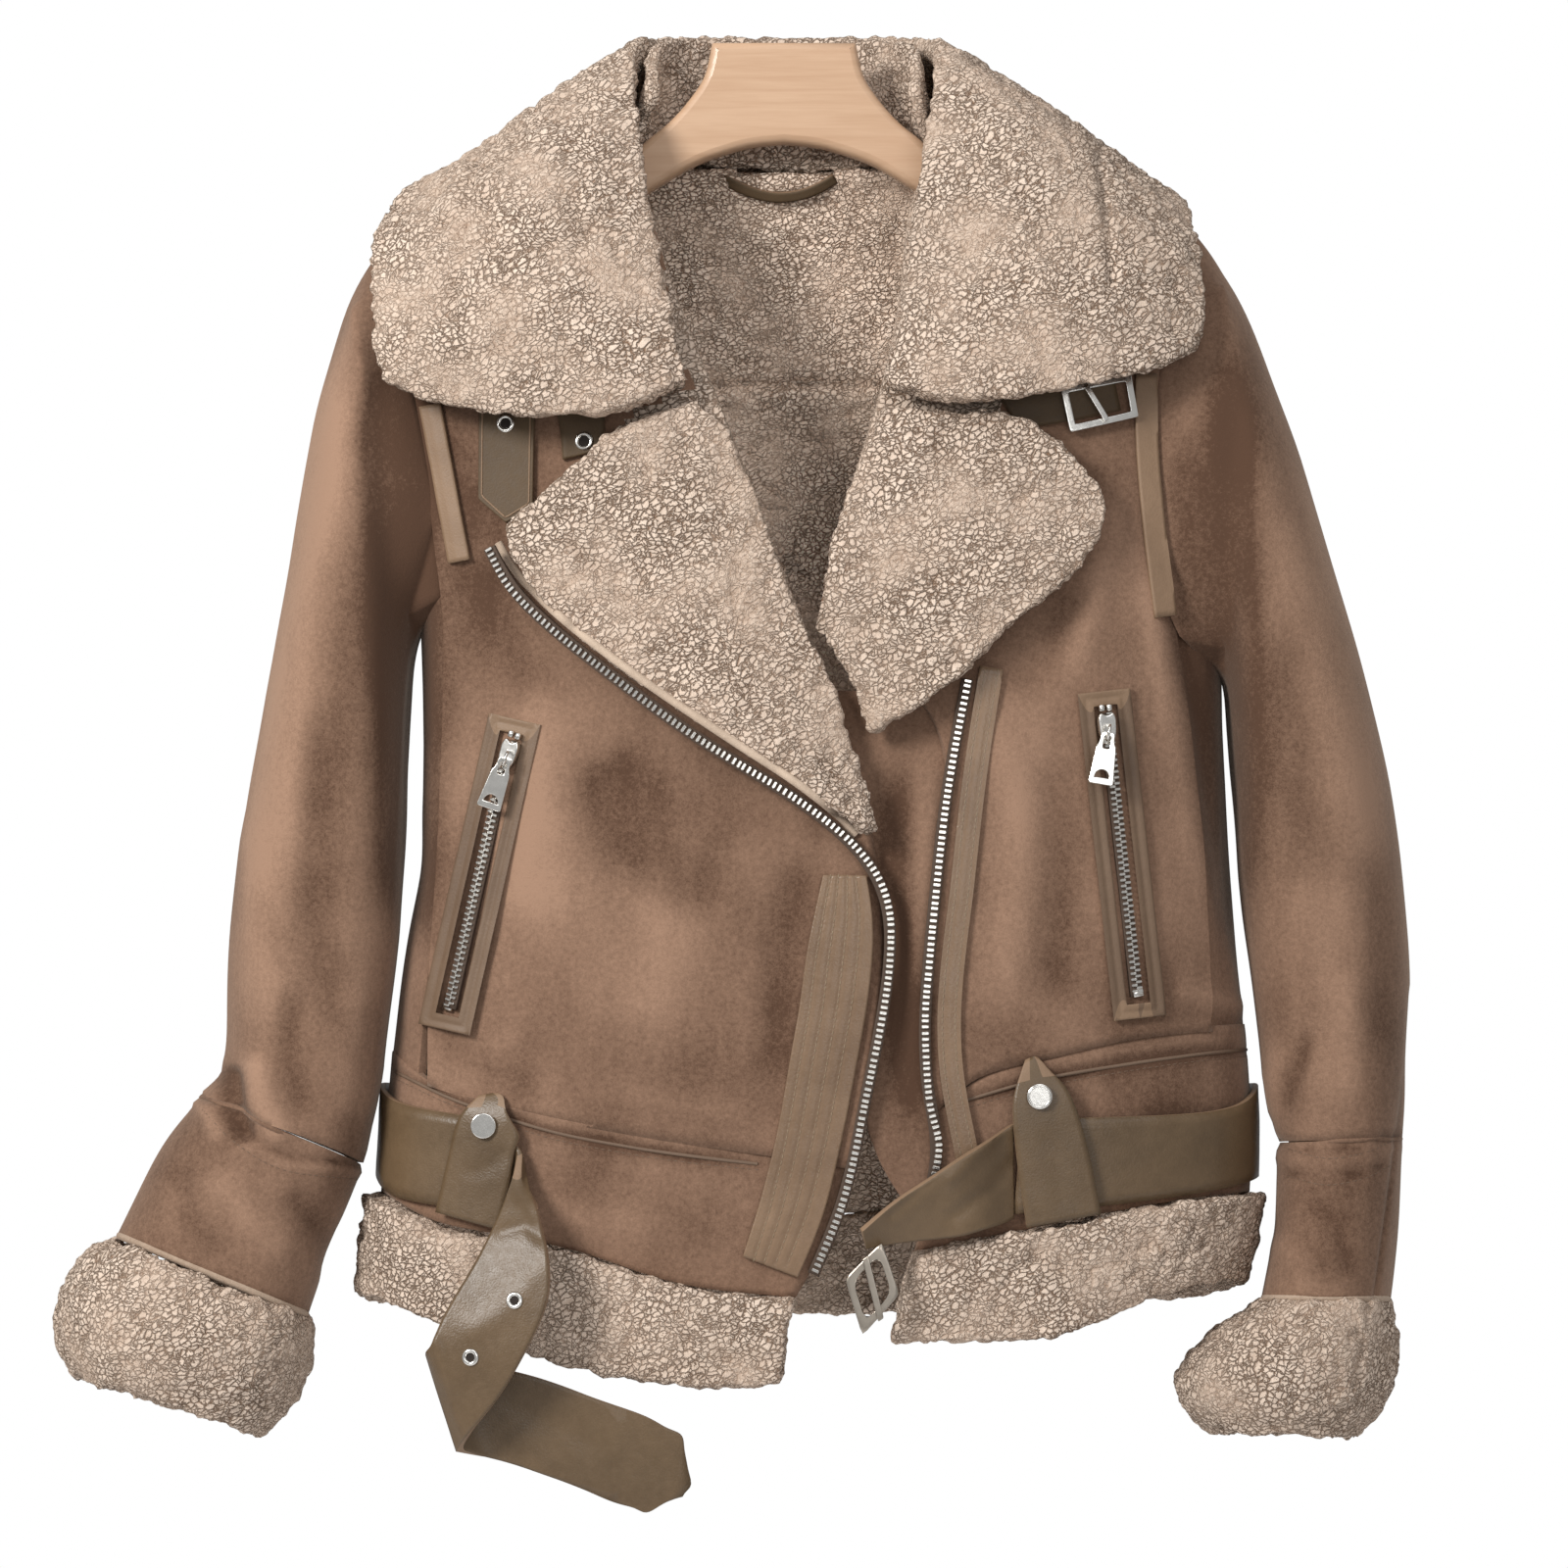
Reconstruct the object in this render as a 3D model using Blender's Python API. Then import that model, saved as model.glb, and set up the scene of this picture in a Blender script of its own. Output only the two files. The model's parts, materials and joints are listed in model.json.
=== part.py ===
"""A shearling biker jacket hanging open on a wooden hanger, cut as its maker cuts it.

Every piece of cloth is a wall of its real thickness between its own seams. The tables give
outlines in millimetres as the eye sees them from in front: x to the right of the hanger's
middle, and down from the hanger's top. place() sets each such point at its depth.
Sides are the wearer's, so the right front is at negative x. The front faces -Y.
"""
import math

import bmesh
import bpy
import numpy as np

# Where the outlines are seen from, in millimetres
EYE_DISTANCE = 2060.0      # from the eye to the hanger's middle plane
TRUE_SIZE_AT = 60.0        # outlines have their true size this far in front of that plane
EYE_DOWN = 388.8
OUTLINE_MIDDLE = 377.5

# Thicknesses and clearances, in millimetres
CLOTH = 4.0                # suede with its short fur bonded inside
LEATHER = 2.0
BELT = 3.0
COLLAR_FUR = 12.0
COLLAR_EDGE = 8.0
LAPEL_FUR = 9.0
HEM_FUR = 15.0
CUFF_FUR = 11.0
SEAM = 0.35
UNDERARM_GAP = 2.8
SIDE_SEAM_GAP = 1.9
ARMHOLE_GAP = 3.2
LAID_ON = 0.4              # clearance under what lies on a panel
STAND_FUR = 6.0
LAPEL_SWELL = 8.0          # how far the lapel's outer edge stands off the front
FLAP_GAP = 0.8             # between the wind flap and the fronts over it
PIPING_WIDTH = 11.0
ZIP_WIDTH = 6.0
TEETH_TOP = 3.4            # the front zips' outer face above the panel
TEETH_THICK = 2.6
BELT_LIFT = 4.0            # the belt's outer face above the waistband
HANGER_LOOP_WIDTH = 5.0
SNAP_RADIUS = 6.6
SNAP_THICK = 1.8

# Hanger and shoulders, in millimetres
NECK_POINT = 80.0          # from the middle to where the shoulder seam meets the collar
SHOULDER_DOWN = 52.0
SHOULDER_SLOPE = 0.32
SHOULDER_ROUND = 100.0     # how far below the seam the shoulder rounds into the flat
HANGER_HALF = 7.5
NECK_SCOOP = 14.0
WAIST_DROOP = 6.0          # how much lower each seam hangs at the middle of the back
HEM_TOP_DROOP = 10.0
HEM_FOOT_DROOP = 14.0
ROUNDNESS = 3.0            # 2 is an ellipse, more is a fuller body

COLOURS = {
    "suede": (0.26, 0.16, 0.105, 1.0),
    "fur": (0.55, 0.45, 0.35, 1.0),
    "leather": (0.155, 0.108, 0.06, 1.0),
    "wood": (0.72, 0.46, 0.26, 1.0),
    "nickel": (0.75, 0.74, 0.72, 1.0),
}
ROUGHNESS = {"suede": 0.9, "fur": 1.0, "leather": 0.45, "wood": 0.5, "nickel": 0.25}

# The body's two sides and its half depth, by height
SIDES = [
    # down, right_x, left_x, half_depth
    (85, -214, 222, 52),
    (130, -215, 224, 58),
    (190, -214, 226, 62),
    (245, -205, 227, 66),
    (300, -190, 226, 70),
    (340, -188, 226, 73),
    (402, -188, 229, 75),
    (477, -197, 234, 76),
    (522, -202, 238, 76),
    (577, -205, 239, 76),
    (607, -208, 234, 76),
    (650, -213, 225, 74),
    (700, -214, 222, 72),
]

# Armholes, from the shoulder tip down the front, as (x, down)
ARMHOLE = {
    "right": [(-197, 90), (-197, 130), (-188, 190), (-179, 245), (-173, 272)],
    "left": [(201, 91), (198, 130), (192, 180), (196, 245), (202, 297)],
}
ARMHOLE_BASE = {"right": (272, 290, 298), "left": (297, 312, 320)}

# Seam from the armhole to the waist, as (x, down)
SIDE_SEAM = {
    "right": [(-173, 272), (-174, 330), (-176, 400), (-182, 470), (-187, 522), (-190, 600)],
    "left": [(202, 297), (208, 350), (213, 400), (218, 480), (222, 540), (222, 600)],
}

# The roll line, where each front turns outwards into its lapel, as (x, down)
ROLL = {
    "right": [(-78, 53), (-71, 80), (-61, 109), (-52, 138), (-38, 169), (-23, 204), (-6, 256),
              (4, 279), (13, 300), (25, 325), (33, 350), (42, 386), (51, 410), (54, 432)],
    "left": [(79, 53), (64, 80), (61, 110), (59, 135), (53, 160), (46, 190), (38, 212),
             (28, 240), (22, 262), (18, 283), (15, 300)],
}
# Below the roll line the front edges carry the zips
RIGHT_EDGE = [(54, 432), (54, 448), (53, 468), (50, 492), (45, 518), (40, 542), (34, 572),
              (28, 598), (18, 622), (11, 632)]
LEFT_EDGE = [(94, 322), (84, 378), (78, 428), (73, 478), (72, 500), (74, 538), (79, 562),
             (74, 590)]

# Edges of the waistband and hem across the front, as (x, down)
WAIST_SEAM = [(-204, 515), (-185, 530), (-140, 545), (-80, 557), (-10, 567), (60, 566),
              (88, 533), (130, 520), (175, 509), (243, 503)]
HEM_TOP = [(-211, 584), (-180, 601), (-140, 609), (-100, 617), (-50, 633), (10, 641),
           (60, 620), (125, 606), (190, 593), (250, 585)]
HEM_FOOT = [(-224, 634), (-200, 640), (-175, 650), (-120, 670), (-80, 680), (-50, 685),
            (-10, 688), (48, 662), (75, 662), (120, 663), (155, 655), (185, 640), (205, 633),
            (245, 631)]

# Sleeve rings from shoulder to wrist: outer edge, inner edge, middle depth, half depth
SLEEVE = {
    "right": [
        # out_x, out_down, in_x, in_down, mid_y, half_y
        (-222, 124, -195, 306, -2, 56),
        (-236, 178, -197, 325, -3, 60),
        (-245, 232, -198, 346, -4, 60),
        (-257, 300, -199, 376, -5, 59),
        (-270, 366, -199, 410, -6, 57),
        (-282, 430, -203, 448, -7, 54),
        (-286, 484, -208, 486, -8, 51),
        (-283, 518, -212, 520, -10, 50),
        (-297, 536, -217, 571, -12, 48),
    ],
    "left": [
        (224, 112, 231, 326, -2, 56),
        (243, 150, 233, 336, -3, 60),
        (262, 210, 234, 358, -4, 60),
        (281, 272, 236, 386, -5, 59),
        (301, 337, 239, 416, -6, 57),
        (314, 402, 243, 452, -7, 54),
        (320, 457, 248, 488, -8, 51),
        (320, 502, 252, 520, -10, 50),
        (316, 558, 256, 560, -12, 48),
    ],
}
FOREARM = {
    "right": [(-297.6, 537, -217.6, 572, -12, 48), (-317, 558, -222, 588, -14, 47),
              (-330, 585, -231, 615, -15, 47), (-341, 608, -242, 648, -16, 46)],
    "left": [(316, 558.5, 256, 560.5, -12, 48), (315, 595, 252, 592, -13, 47),
             (312, 625, 247, 618, -14, 47), (310, 640, 243, 640, -15, 46)],
}
CUFF = {
    "right": [(-341.3, 608.6, -242.2, 648.6, -16, 47), (-356, 612, -238, 656, -16, 56),
              (-368, 631, -240, 672, -16, 62), (-374, 650, -247, 690, -17, 63),
              (-371, 668, -256, 702, -17, 60), (-362, 680, -266, 711, -17, 52)],
    "left": [(310, 640.6, 243, 640.6, -15, 47), (313, 650, 216, 656, -15, 57),
             (314, 664, 203, 671, -15, 61), (313, 684, 198, 684, -16, 63),
             (305, 700, 206, 700, -16, 60), (293, 711, 220, 709, -16, 52)],
}

# The collar's fall, one row a section from the middle of the back to each front end.
# Each row has the fold at the top, a point half way, and the outer edge.
COLLAR_BACK = [(0, -3, 60), (0, 42, 68), (0, 98, 58)]
COLLAR = {
    "right": [
        # fold (x, down, y), half way (x, down, y), edge (x, down, y)
        [(-44, -4, 54), (-66, 38, 66), (-86, 95, 58)],
        [(-68, -3, 32), (-112, 32, 44), (-158, 86, 44)],
        [(-76, -2, 4), (-123, 27, 6), (-189, 72, 20)],
        [(-76, 22, -20), (-138, 55, -42), (-207, 90, -24)],
        [(-73, 54, -40), (-141, 88, -66), (-212, 114, -48)],
        [(-67, 92, -58), (-140, 121, -80), (-211, 140, -54)],
        [(-60, 124, -70), (-135, 152, -88), (-210, 158, -62)],
        [(-48, 172, -82), (-122, 190, -92), (-203, 176, -66)],
    ],
    "left": [
        [(44, -4, 54), (66, 38, 66), (86, 95, 58)],
        [(70, -3, 32), (112, 30, 44), (160, 86, 44)],
        [(79, -2, 4), (123, 20, 6), (197, 75, 20)],
        [(76, 22, -20), (140, 50, -42), (209, 90, -24)],
        [(70, 54, -40), (143, 86, -66), (215, 112, -48)],
        [(65, 90, -58), (142, 119, -80), (215, 131, -54)],
        [(62, 122, -70), (138, 150, -88), (216, 146, -62)],
        [(52, 172, -82), (121, 180, -92), (211, 159, -66)],
    ],
}
# The stand inside it, from the neck seam up to the fold: half the neck, then mirrored
STAND = [
    # foot (x, down, y), top (x, down, y)
    [(0, 65.3, 27.5), (0, 0, 48.6)],
    [(36, 64.1, 26.5), (38, -1, 43.6)],
    [(62, 60.2, 22), (60, 0, 27)],
    [(77, 52.8, 12), (69, 1, 4)],
    [(77, 50.5, -6), (69, 24, -16)],
]

# Lapels, one row a section down the roll line: the roll and the outer edge, as (x, down)
LAPEL = {
    "right": [
        # roll_x, roll_down, edge_x, edge_down
        (-46, 180, -92, 201),
        (-34, 188, -114, 218),
        (-23, 206, -124, 230),
        (-10, 244, -146, 251),
        (0, 272, -117, 291),
        (12, 298, -97, 307),
        (24, 324, -60, 335),
        (34, 352, -22, 359),
        (43, 384, 8, 378),
        (49, 402, 30, 394),
    ],
    "left": [
        (49, 186, 100, 189),
        (43, 204, 125, 191),
        (36, 216, 140, 202),
        (28, 240, 154, 219),
        (22, 264, 165, 232),
        (20, 284, 163, 250),
        (21, 304, 148, 270),
        (33, 322, 132, 284),
        (40, 342, 108, 303),
        (43, 352, 92, 322),
    ],
}

# Long strips on the fronts: middle line (x, down), then width
RIGHT_ZIP = [(-151, 257), (-140, 277), (-120, 297), (-100, 313), (-75, 332), (-50, 350),
             (-25, 366), (0, 381), (20, 395), (36, 409), (48, 425), (54, 444), (54, 468),
             (51, 492), (46, 518), (41, 542), (35, 572), (28, 597), (15, 628)]
LEFT_ZIP = [(94, 324), (87, 360), (82, 392), (78, 428), (74, 470), (72, 500), (74, 538),
            (79, 562), (75, 586)]
RIGHT_PLACKET = [
    # x, down, width
    (31, 424, 22), (30.5, 445, 30), (28, 468, 34), (25, 492, 34), (20.5, 517, 34),
    (12, 562, 33), (4, 594, 33), (-7, 624, 30),
]
LEFT_PLACKET = [
    # x, down, width
    (106, 318, 12), (100, 355, 12), (95, 392, 12), (91, 430, 12), (86, 470, 12), (84, 500, 12),
    (86, 530, 12), (91, 555, 12), (95, 575, 12),
]
PIPING = {
    "right": [(-181, 184), (-176, 210), (-171, 238), (-166, 264)],
    "left": [(185, 168), (185, 195), (187, 225), (191, 262), (195, 292)],
}
POCKET = {
    # the slanted opening's two ends, as (x, down)
    "right": [(-139, 351), (-172, 496)],
    "left": [(164, 337), (181, 490)],
}
POCKET_WIDTH = 27.0
POCKET_SLOT = 12.0
PULL_LENGTH = 27.0
PULL_WIDTH = 13.0
PULL_THICK = 2.2
PULL_GAP = 1.3
PULL_TIP_LIFT = 1.2
SLIDER_TOP = 8.2           # the slider's outer face above the panel
SLIDER_LENGTH = 17.0
SLIDER_WIDTH = 9.4
PULL_HANG = {"right": (-12.0, 35.0), "left": (-5.0, 34.0)}

GIRDLE_ROWS = 4
HEM_LIFT = 8.0             # how far the hem's fur stands proud of the waistband
SIDE_GAP = 0.0015          # half the gap at the band's side seams, in radians
FRONT_COLUMNS = 8
# Rows of a body panel, as shares of its height: close together where the shoulder rounds over
PANEL_ROWS = np.array([0, 0.006, 0.018, 0.04, 0.075, 0.12, 0.18, 0.26, 0.36, 0.47, 0.58, 0.69,
                       0.80, 0.90, 1.0])
BACK_COLUMNS = 14
RING_POINTS = 20


def between(table, key, value, at):
    """Read one column of a table at a place between its rows, along a smooth curve."""
    keys = np.array([row[key] for row in table], dtype=float)
    values = np.array([row[value] for row in table], dtype=float)
    if keys[0] > keys[-1]:
        keys, values = keys[::-1], values[::-1]
    slopes = np.gradient(values, keys)
    at = np.clip(np.asarray(at, dtype=float), keys[0], keys[-1])
    step = np.clip(np.searchsorted(keys, at, side="right") - 1, 0, len(keys) - 2)
    length = keys[step + 1] - keys[step]
    t = (at - keys[step]) / length
    start = (1 + 2 * t) * (1 - t) ** 2 * values[step] + t * (1 - t) ** 2 * length * slopes[step]
    end = t * t * (3 - 2 * t) * values[step + 1] - t * t * (1 - t) * length * slopes[step + 1]
    return start + end


def along(points, count):
    """Points on a smooth curve through the given ones: a number of them, or at given shares."""
    points = np.array(points, dtype=float)
    steps = np.linalg.norm(np.diff(points, axis=0), axis=1)
    run = np.concatenate([[0.0], np.cumsum(steps)])
    where = run[-1] * (np.linspace(0.0, 1.0, count) if np.isscalar(count) else count)
    table = np.column_stack([run, points])
    columns = [between(table, 0, i + 1, where) for i in range(points.shape[1])]
    return np.column_stack(columns)


def place(seen):
    """Set outline points (x, down, y) at their real place, in metres."""
    seen = np.asarray(seen, dtype=float)
    x, down, y = seen[..., 0], seen[..., 1], seen[..., 2]
    nearer = (EYE_DISTANCE + y) / (EYE_DISTANCE - TRUE_SIZE_AT)
    z = -EYE_DOWN + (OUTLINE_MIDDLE - down) * nearer
    return np.stack([x * nearer, y, z], axis=-1) / 1000.0


def body_at(down):
    """The body's middle, half width and half depth at a height."""
    right = between(SIDES, 0, 1, down)
    left = between(SIDES, 0, 2, down)
    return (right + left) / 2, (left - right) / 2, between(SIDES, 0, 3, down)


def shoulder_round(x, down):
    """0 on the shoulder seam and 1 where the body has its full depth."""
    seam = SHOULDER_DOWN + SHOULDER_SLOPE * np.maximum(np.abs(x) - NECK_POINT, 0.0)
    below = np.clip((down - seam) / SHOULDER_ROUND, 0.0, 1.0)
    return np.sqrt(1.0 - (1.0 - below) ** 2)


def surface(x, down, lift=0.0, side=-1.0):
    """A point on the body's front (side -1) or back (side 1), lifted off it."""
    x, down = np.asarray(x, dtype=float), np.asarray(down, dtype=float)
    middle, half, depth = body_at(down)
    across = np.clip(np.abs(x - middle) / half, 0.0, 1.0)
    bulge = (1.0 - across ** ROUNDNESS) ** (1.0 / ROUNDNESS)
    y = SEAM / 2 + depth * bulge * shoulder_round(x, down) + lift
    return np.stack([x + 0 * y, down + 0 * y, side * y], axis=-1)


def turn_of(x, down):
    """The turn round the body, in radians from the middle of the front, at a front point."""
    middle, half, depth = body_at(down)
    across = np.clip((x - middle) / half, -1.0, 1.0)
    return np.arcsin(np.sign(across) * np.abs(across) ** (ROUNDNESS / 2))


def round_body(turn, down, lift=0.0):
    """A point at a turn round the body, lifted off it all round."""
    turn, down = np.broadcast_arrays(turn, down)
    middle, half, depth = body_at(down)
    power = 2.0 / ROUNDNESS
    across = np.sign(np.sin(turn)) * np.abs(np.sin(turn)) ** power
    deep = -np.sign(np.cos(turn)) * np.abs(np.cos(turn)) ** power
    x = middle + (half + lift) * across
    round_off = shoulder_round(middle + half * across, down)
    reach = np.maximum(depth * round_off + lift, SEAM)
    sink = np.maximum(-lift, 0.0) * (1.0 - round_off)
    return np.stack([x, down + sink, reach * deep], axis=-1)


def lining_of(grid, thickness, side):
    """The inner face under a grid on the body's front (side -1) or back (side 1)."""
    turn = turn_of(grid[..., 0], grid[..., 1])
    if side > 0:
        turn = math.pi - turn
    inside = round_body(turn, grid[..., 1], -thickness)
    inside[..., 2] = side * np.maximum(side * inside[..., 2], SEAM / 2)
    return inside


def seam_down(table, turn, droop=0.0):
    """How far down a seam round the whole body runs, at a turn.

    Across the front it follows its table by x. Across the back it runs from side to side.
    """
    turn = np.mod(np.asarray(turn, dtype=float) + math.pi, 2 * math.pi) - math.pi
    middle, half, depth = body_at(float(table[0][1]))
    across = np.sign(np.sin(turn)) * np.abs(np.sin(turn)) ** (2.0 / ROUNDNESS)
    front = between(table, 0, 1, middle + half * across)
    ends = [float(between(table, 0, 1, middle + sign * half)) for sign in (-1, 1)]
    share = 0.5 + 0.5 * np.sin(turn)
    back = ends[0] * (1 - share) + ends[1] * share + droop * np.abs(np.cos(turn))
    return np.where(np.cos(turn) >= 0, front, back)


def material(name):
    found = bpy.data.materials.get(name)
    if found:
        return found
    made = bpy.data.materials.new(name)
    made.use_nodes = True
    shader = made.node_tree.nodes["Principled BSDF"]
    shader.inputs["Base Color"].default_value = COLOURS[name]
    shader.inputs["Roughness"].default_value = ROUGHNESS[name]
    shader.inputs["Metallic"].default_value = 1.0 if name == "nickel" else 0.0
    return made


def solid(name, points, faces, finish):
    """A closed object from its points in metres and its faces."""
    mesh = bpy.data.meshes.new(name)
    mesh.from_pydata([tuple(p) for p in points], [], faces)
    work = bmesh.new()
    work.from_mesh(mesh)
    bmesh.ops.recalc_face_normals(work, faces=work.faces)
    work.to_mesh(mesh)
    work.free()
    mesh.shade_smooth()
    mesh.set_sharp_from_angle(angle=math.radians(40))
    mesh.materials.append(material(finish))
    made = bpy.data.objects.new(name, mesh)
    bpy.context.scene.collection.objects.link(made)
    return made


def wall(name, seen, thickness, finish, closed=False, outwards=None, inside=None):
    """A wall of cloth whose outer face runs through a grid of outline points.

    The grid's rows run from top to bottom. A closed grid joins its last column to its first.
    The inner face is the grid inside, or lies the thickness towards the body's middle, or
    against the vector outwards.
    """
    outer = place(seen)
    inner = place(inside) if inside is not None else set_in(outer, seen, thickness, closed,
                                                            outwards)
    return close_wall(name, outer, inner, finish, closed)


def set_in(outer, seen, thickness, closed, outwards):
    """The inner face of a wall, its thickness in from the outer one."""
    down_step = np.gradient(outer, axis=0)
    if closed:
        across_step = np.roll(outer, -1, axis=1) - np.roll(outer, 1, axis=1)
    else:
        across_step = np.gradient(outer, axis=1)
    normal = np.cross(down_step, across_step)
    normal /= np.linalg.norm(normal, axis=2, keepdims=True) + 1e-12
    if closed:
        away = outer - outer.mean(axis=1, keepdims=True)
    elif outwards is None:
        middle = body_at(np.asarray(seen)[..., 1])[0]
        away = np.stack([outer[..., 0] - middle / 1000.0, outer[..., 1], 0 * middle], axis=-1)
    else:
        away = np.broadcast_to(np.array(outwards, dtype=float), outer.shape)
    if (normal * away).sum() < 0:
        normal = -normal
    thick = np.asarray(thickness, dtype=float) / 1000.0
    return outer - normal * np.broadcast_to(thick, outer.shape[:2])[..., None]


def close_wall(name, outer, inner, finish, closed):
    """Join an outer and an inner grid into one closed wall."""
    rows, columns = outer.shape[:2]
    points = np.concatenate([outer.reshape(-1, 3), inner.reshape(-1, 3)])
    shift = rows * columns
    faces = []
    last = columns if closed else columns - 1
    for r in range(rows - 1):
        for c in range(last):
            n = (c + 1) % columns
            a, b = r * columns + c, r * columns + n
            d, e = (r + 1) * columns + c, (r + 1) * columns + n
            faces.append((a, b, e, d))
            faces.append((a + shift, d + shift, e + shift, b + shift))
    for c in range(last):
        n = (c + 1) % columns
        foot = (rows - 1) * columns
        faces.append((c, c + shift, n + shift, n))
        faces.append((foot + c, foot + n, foot + n + shift, foot + c + shift))
    if not closed:
        for r in range(rows - 1):
            a, d = r * columns, (r + 1) * columns
            faces.append((a, d, d + shift, a + shift))
            a, d = a + columns - 1, d + columns - 1
            faces.append((a, a + shift, d + shift, d))
    return solid(name, points, faces, finish)


def panel(left_edge, right_edge, rows, columns, lift=0.0, side=-1.0):
    """A grid of outline points on the body between two edges that have equal heights."""
    left = along(left_edge, rows)
    right = along(right_edge, rows)
    t = np.linspace(0.0, 1.0, columns)[None, :, None]
    flat = left[:, None, :] * (1 - t) + right[:, None, :] * t
    return surface(flat[..., 0], flat[..., 1], lift, side)


def strip(name, line, width, lift, thickness, finish, rows=14, columns=2, side=-1.0):
    """A long strip on the body, along its middle line, which may carry its width."""
    middle = along(line, rows)
    if middle.shape[1] > 2:
        width = middle[:, 2][:, None, None]
        middle = middle[:, :2]
    run = np.gradient(middle, axis=0)
    run /= np.linalg.norm(run, axis=1, keepdims=True)
    across = np.column_stack([-run[:, 1], run[:, 0]])
    spread = np.linspace(-0.5, 0.5, columns + 1)[None, :, None]
    flat = middle[:, None, :] + across[:, None, :] * spread * width
    lifts = np.interp(np.linspace(0, 1, rows), np.linspace(0, 1, len(lift)), lift)[:, None]
    return wall(name, surface(flat[..., 0], flat[..., 1], lifts, side), thickness, finish)


def ribbon(name, sections, rows, thickness, finish, columns=3, outwards=(0, -1, 0)):
    """A free strip through sections that give its two edges as (x, down, y) pairs."""
    flat = along([list(a) + list(b) for a, b in sections], rows)
    t = np.linspace(0.0, 1.0, columns)[None, :, None]
    grid = flat[:, None, :3] * (1 - t) + flat[:, None, 3:] * t
    return wall(name, grid, thickness, finish, outwards=outwards)


def frame_bar(name, corners, bar, thickness, lift, finish, flat_y=None):
    """A flat four-sided frame with an open middle, from the corners of its outline."""
    corners = np.array(corners, dtype=float)
    ahead = np.roll(corners, -1, axis=0) - corners
    ahead /= np.linalg.norm(ahead, axis=1, keepdims=True)
    inner = corners + bar * (ahead - np.roll(ahead, 1, axis=0))
    loops = []
    for loop in (corners, inner):
        steps = [loop[i] * (1 - t) + loop[(i + 1) % 4] * t for i in range(4)
                 for t in np.linspace(0, 1, 5)[:-1]]
        loops.append(np.array(steps))
    points = []
    for level in (lift, lift - thickness):
        for loop in loops:
            if flat_y is None:
                points.append(surface(loop[:, 0], loop[:, 1], level))
            else:
                deep = np.full(len(loop), flat_y - level)
                points.append(np.column_stack([loop, deep]))
    count = len(loops[0])
    faces = []
    for i in range(count):
        n = (i + 1) % count
        o, p = i, n
        faces.append((o, p, count + p, count + o))
        faces.append((2 * count + o, 3 * count + o, 3 * count + p, 2 * count + p))
        faces.append((o, 2 * count + o, 2 * count + p, p))
        faces.append((count + o, count + p, 3 * count + p, 3 * count + o))
    return solid(name, place(np.concatenate(points)), faces, finish)


def disc(name, x, down, y, radius, thickness, finish, sides=16):
    """A round snap that faces the front."""
    angles = np.linspace(0, 2 * math.pi, sides, endpoint=False)
    rim = [(x + radius * math.cos(a), down + radius * math.sin(a)) for a in angles]
    points = [(px, pz, y) for px, pz in rim] + [(px, pz, y + thickness) for px, pz in rim]
    faces = [tuple(range(sides)), tuple(range(sides, 2 * sides))]
    for i in range(sides):
        n = (i + 1) % sides
        faces.append((i, n, sides + n, sides + i))
    return solid(name, place(points), faces, finish)


def remove_old():
    for old in list(bpy.data.objects):
        bpy.data.objects.remove(old, do_unlink=True)


def make_hanger():
    """A wooden hanger: a flat-topped neck that flares into two arms inside the shoulders."""
    half = [
        # x, top, foot
        (0, 0, 51), (18, 0, 53), (36.5, 0, 58.5), (40.5, 17, 60), (49, 30, 64),
        (59, 41, 70), (69, 49, 76), (75, 59.5, 80), (82, 60, 83), (105, 67.5, 91),
        (135, 77.2, 101), (165, 87.2, 109), (184, 94.5, 110),
    ]
    rows = [(-x, top, foot) for x, top, foot in reversed(half[1:])] + half
    points = []
    for x, top, foot in rows:
        points += [(x, top, -HANGER_HALF), (x, top, HANGER_HALF),
                   (x, foot, HANGER_HALF), (x, foot, -HANGER_HALF)]
    faces = [(0, 1, 2, 3)]
    for i in range(len(rows) - 1):
        a, b = 4 * i, 4 * i + 4
        for k in range(4):
            n = (k + 1) % 4
            faces.append((a + k, b + k, b + n, a + n))
    end = 4 * (len(rows) - 1)
    faces.append((end, end + 3, end + 2, end + 1))
    solid("hanger", place(points), faces, "wood")


def front_outer_edge(side):
    """The front panel's outer edge: down the armhole and then the side seam to the waist."""
    seam = [p for p in SIDE_SEAM[side][1:] if p[1] < 500]
    last = {"right": (-182, 521), "left": (219, 508)}[side]
    return ARMHOLE[side] + seam + [last]


def bend_to_seams(grid, top, foot, side=-1.0):
    """Bend a panel's rows so that its top and foot follow their seams."""
    share = PANEL_ROWS[:, None]
    shift_top = top - grid[0, :, 1]
    shift_foot = foot - grid[-1, :, 1]
    down = grid[..., 1] + shift_top * (1 - share) ** 3 + shift_foot * share ** 4
    return surface(grid[..., 0], down, 0.0, side)


def body_wall(name, grid, side=-1.0):
    wall(name, grid, CLOTH, "suede", inside=lining_of(grid, CLOTH, side))


def shoulder_seam(x):
    return SHOULDER_DOWN + SHOULDER_SLOPE * np.maximum(np.abs(x) - NECK_POINT, 0.0)


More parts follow.
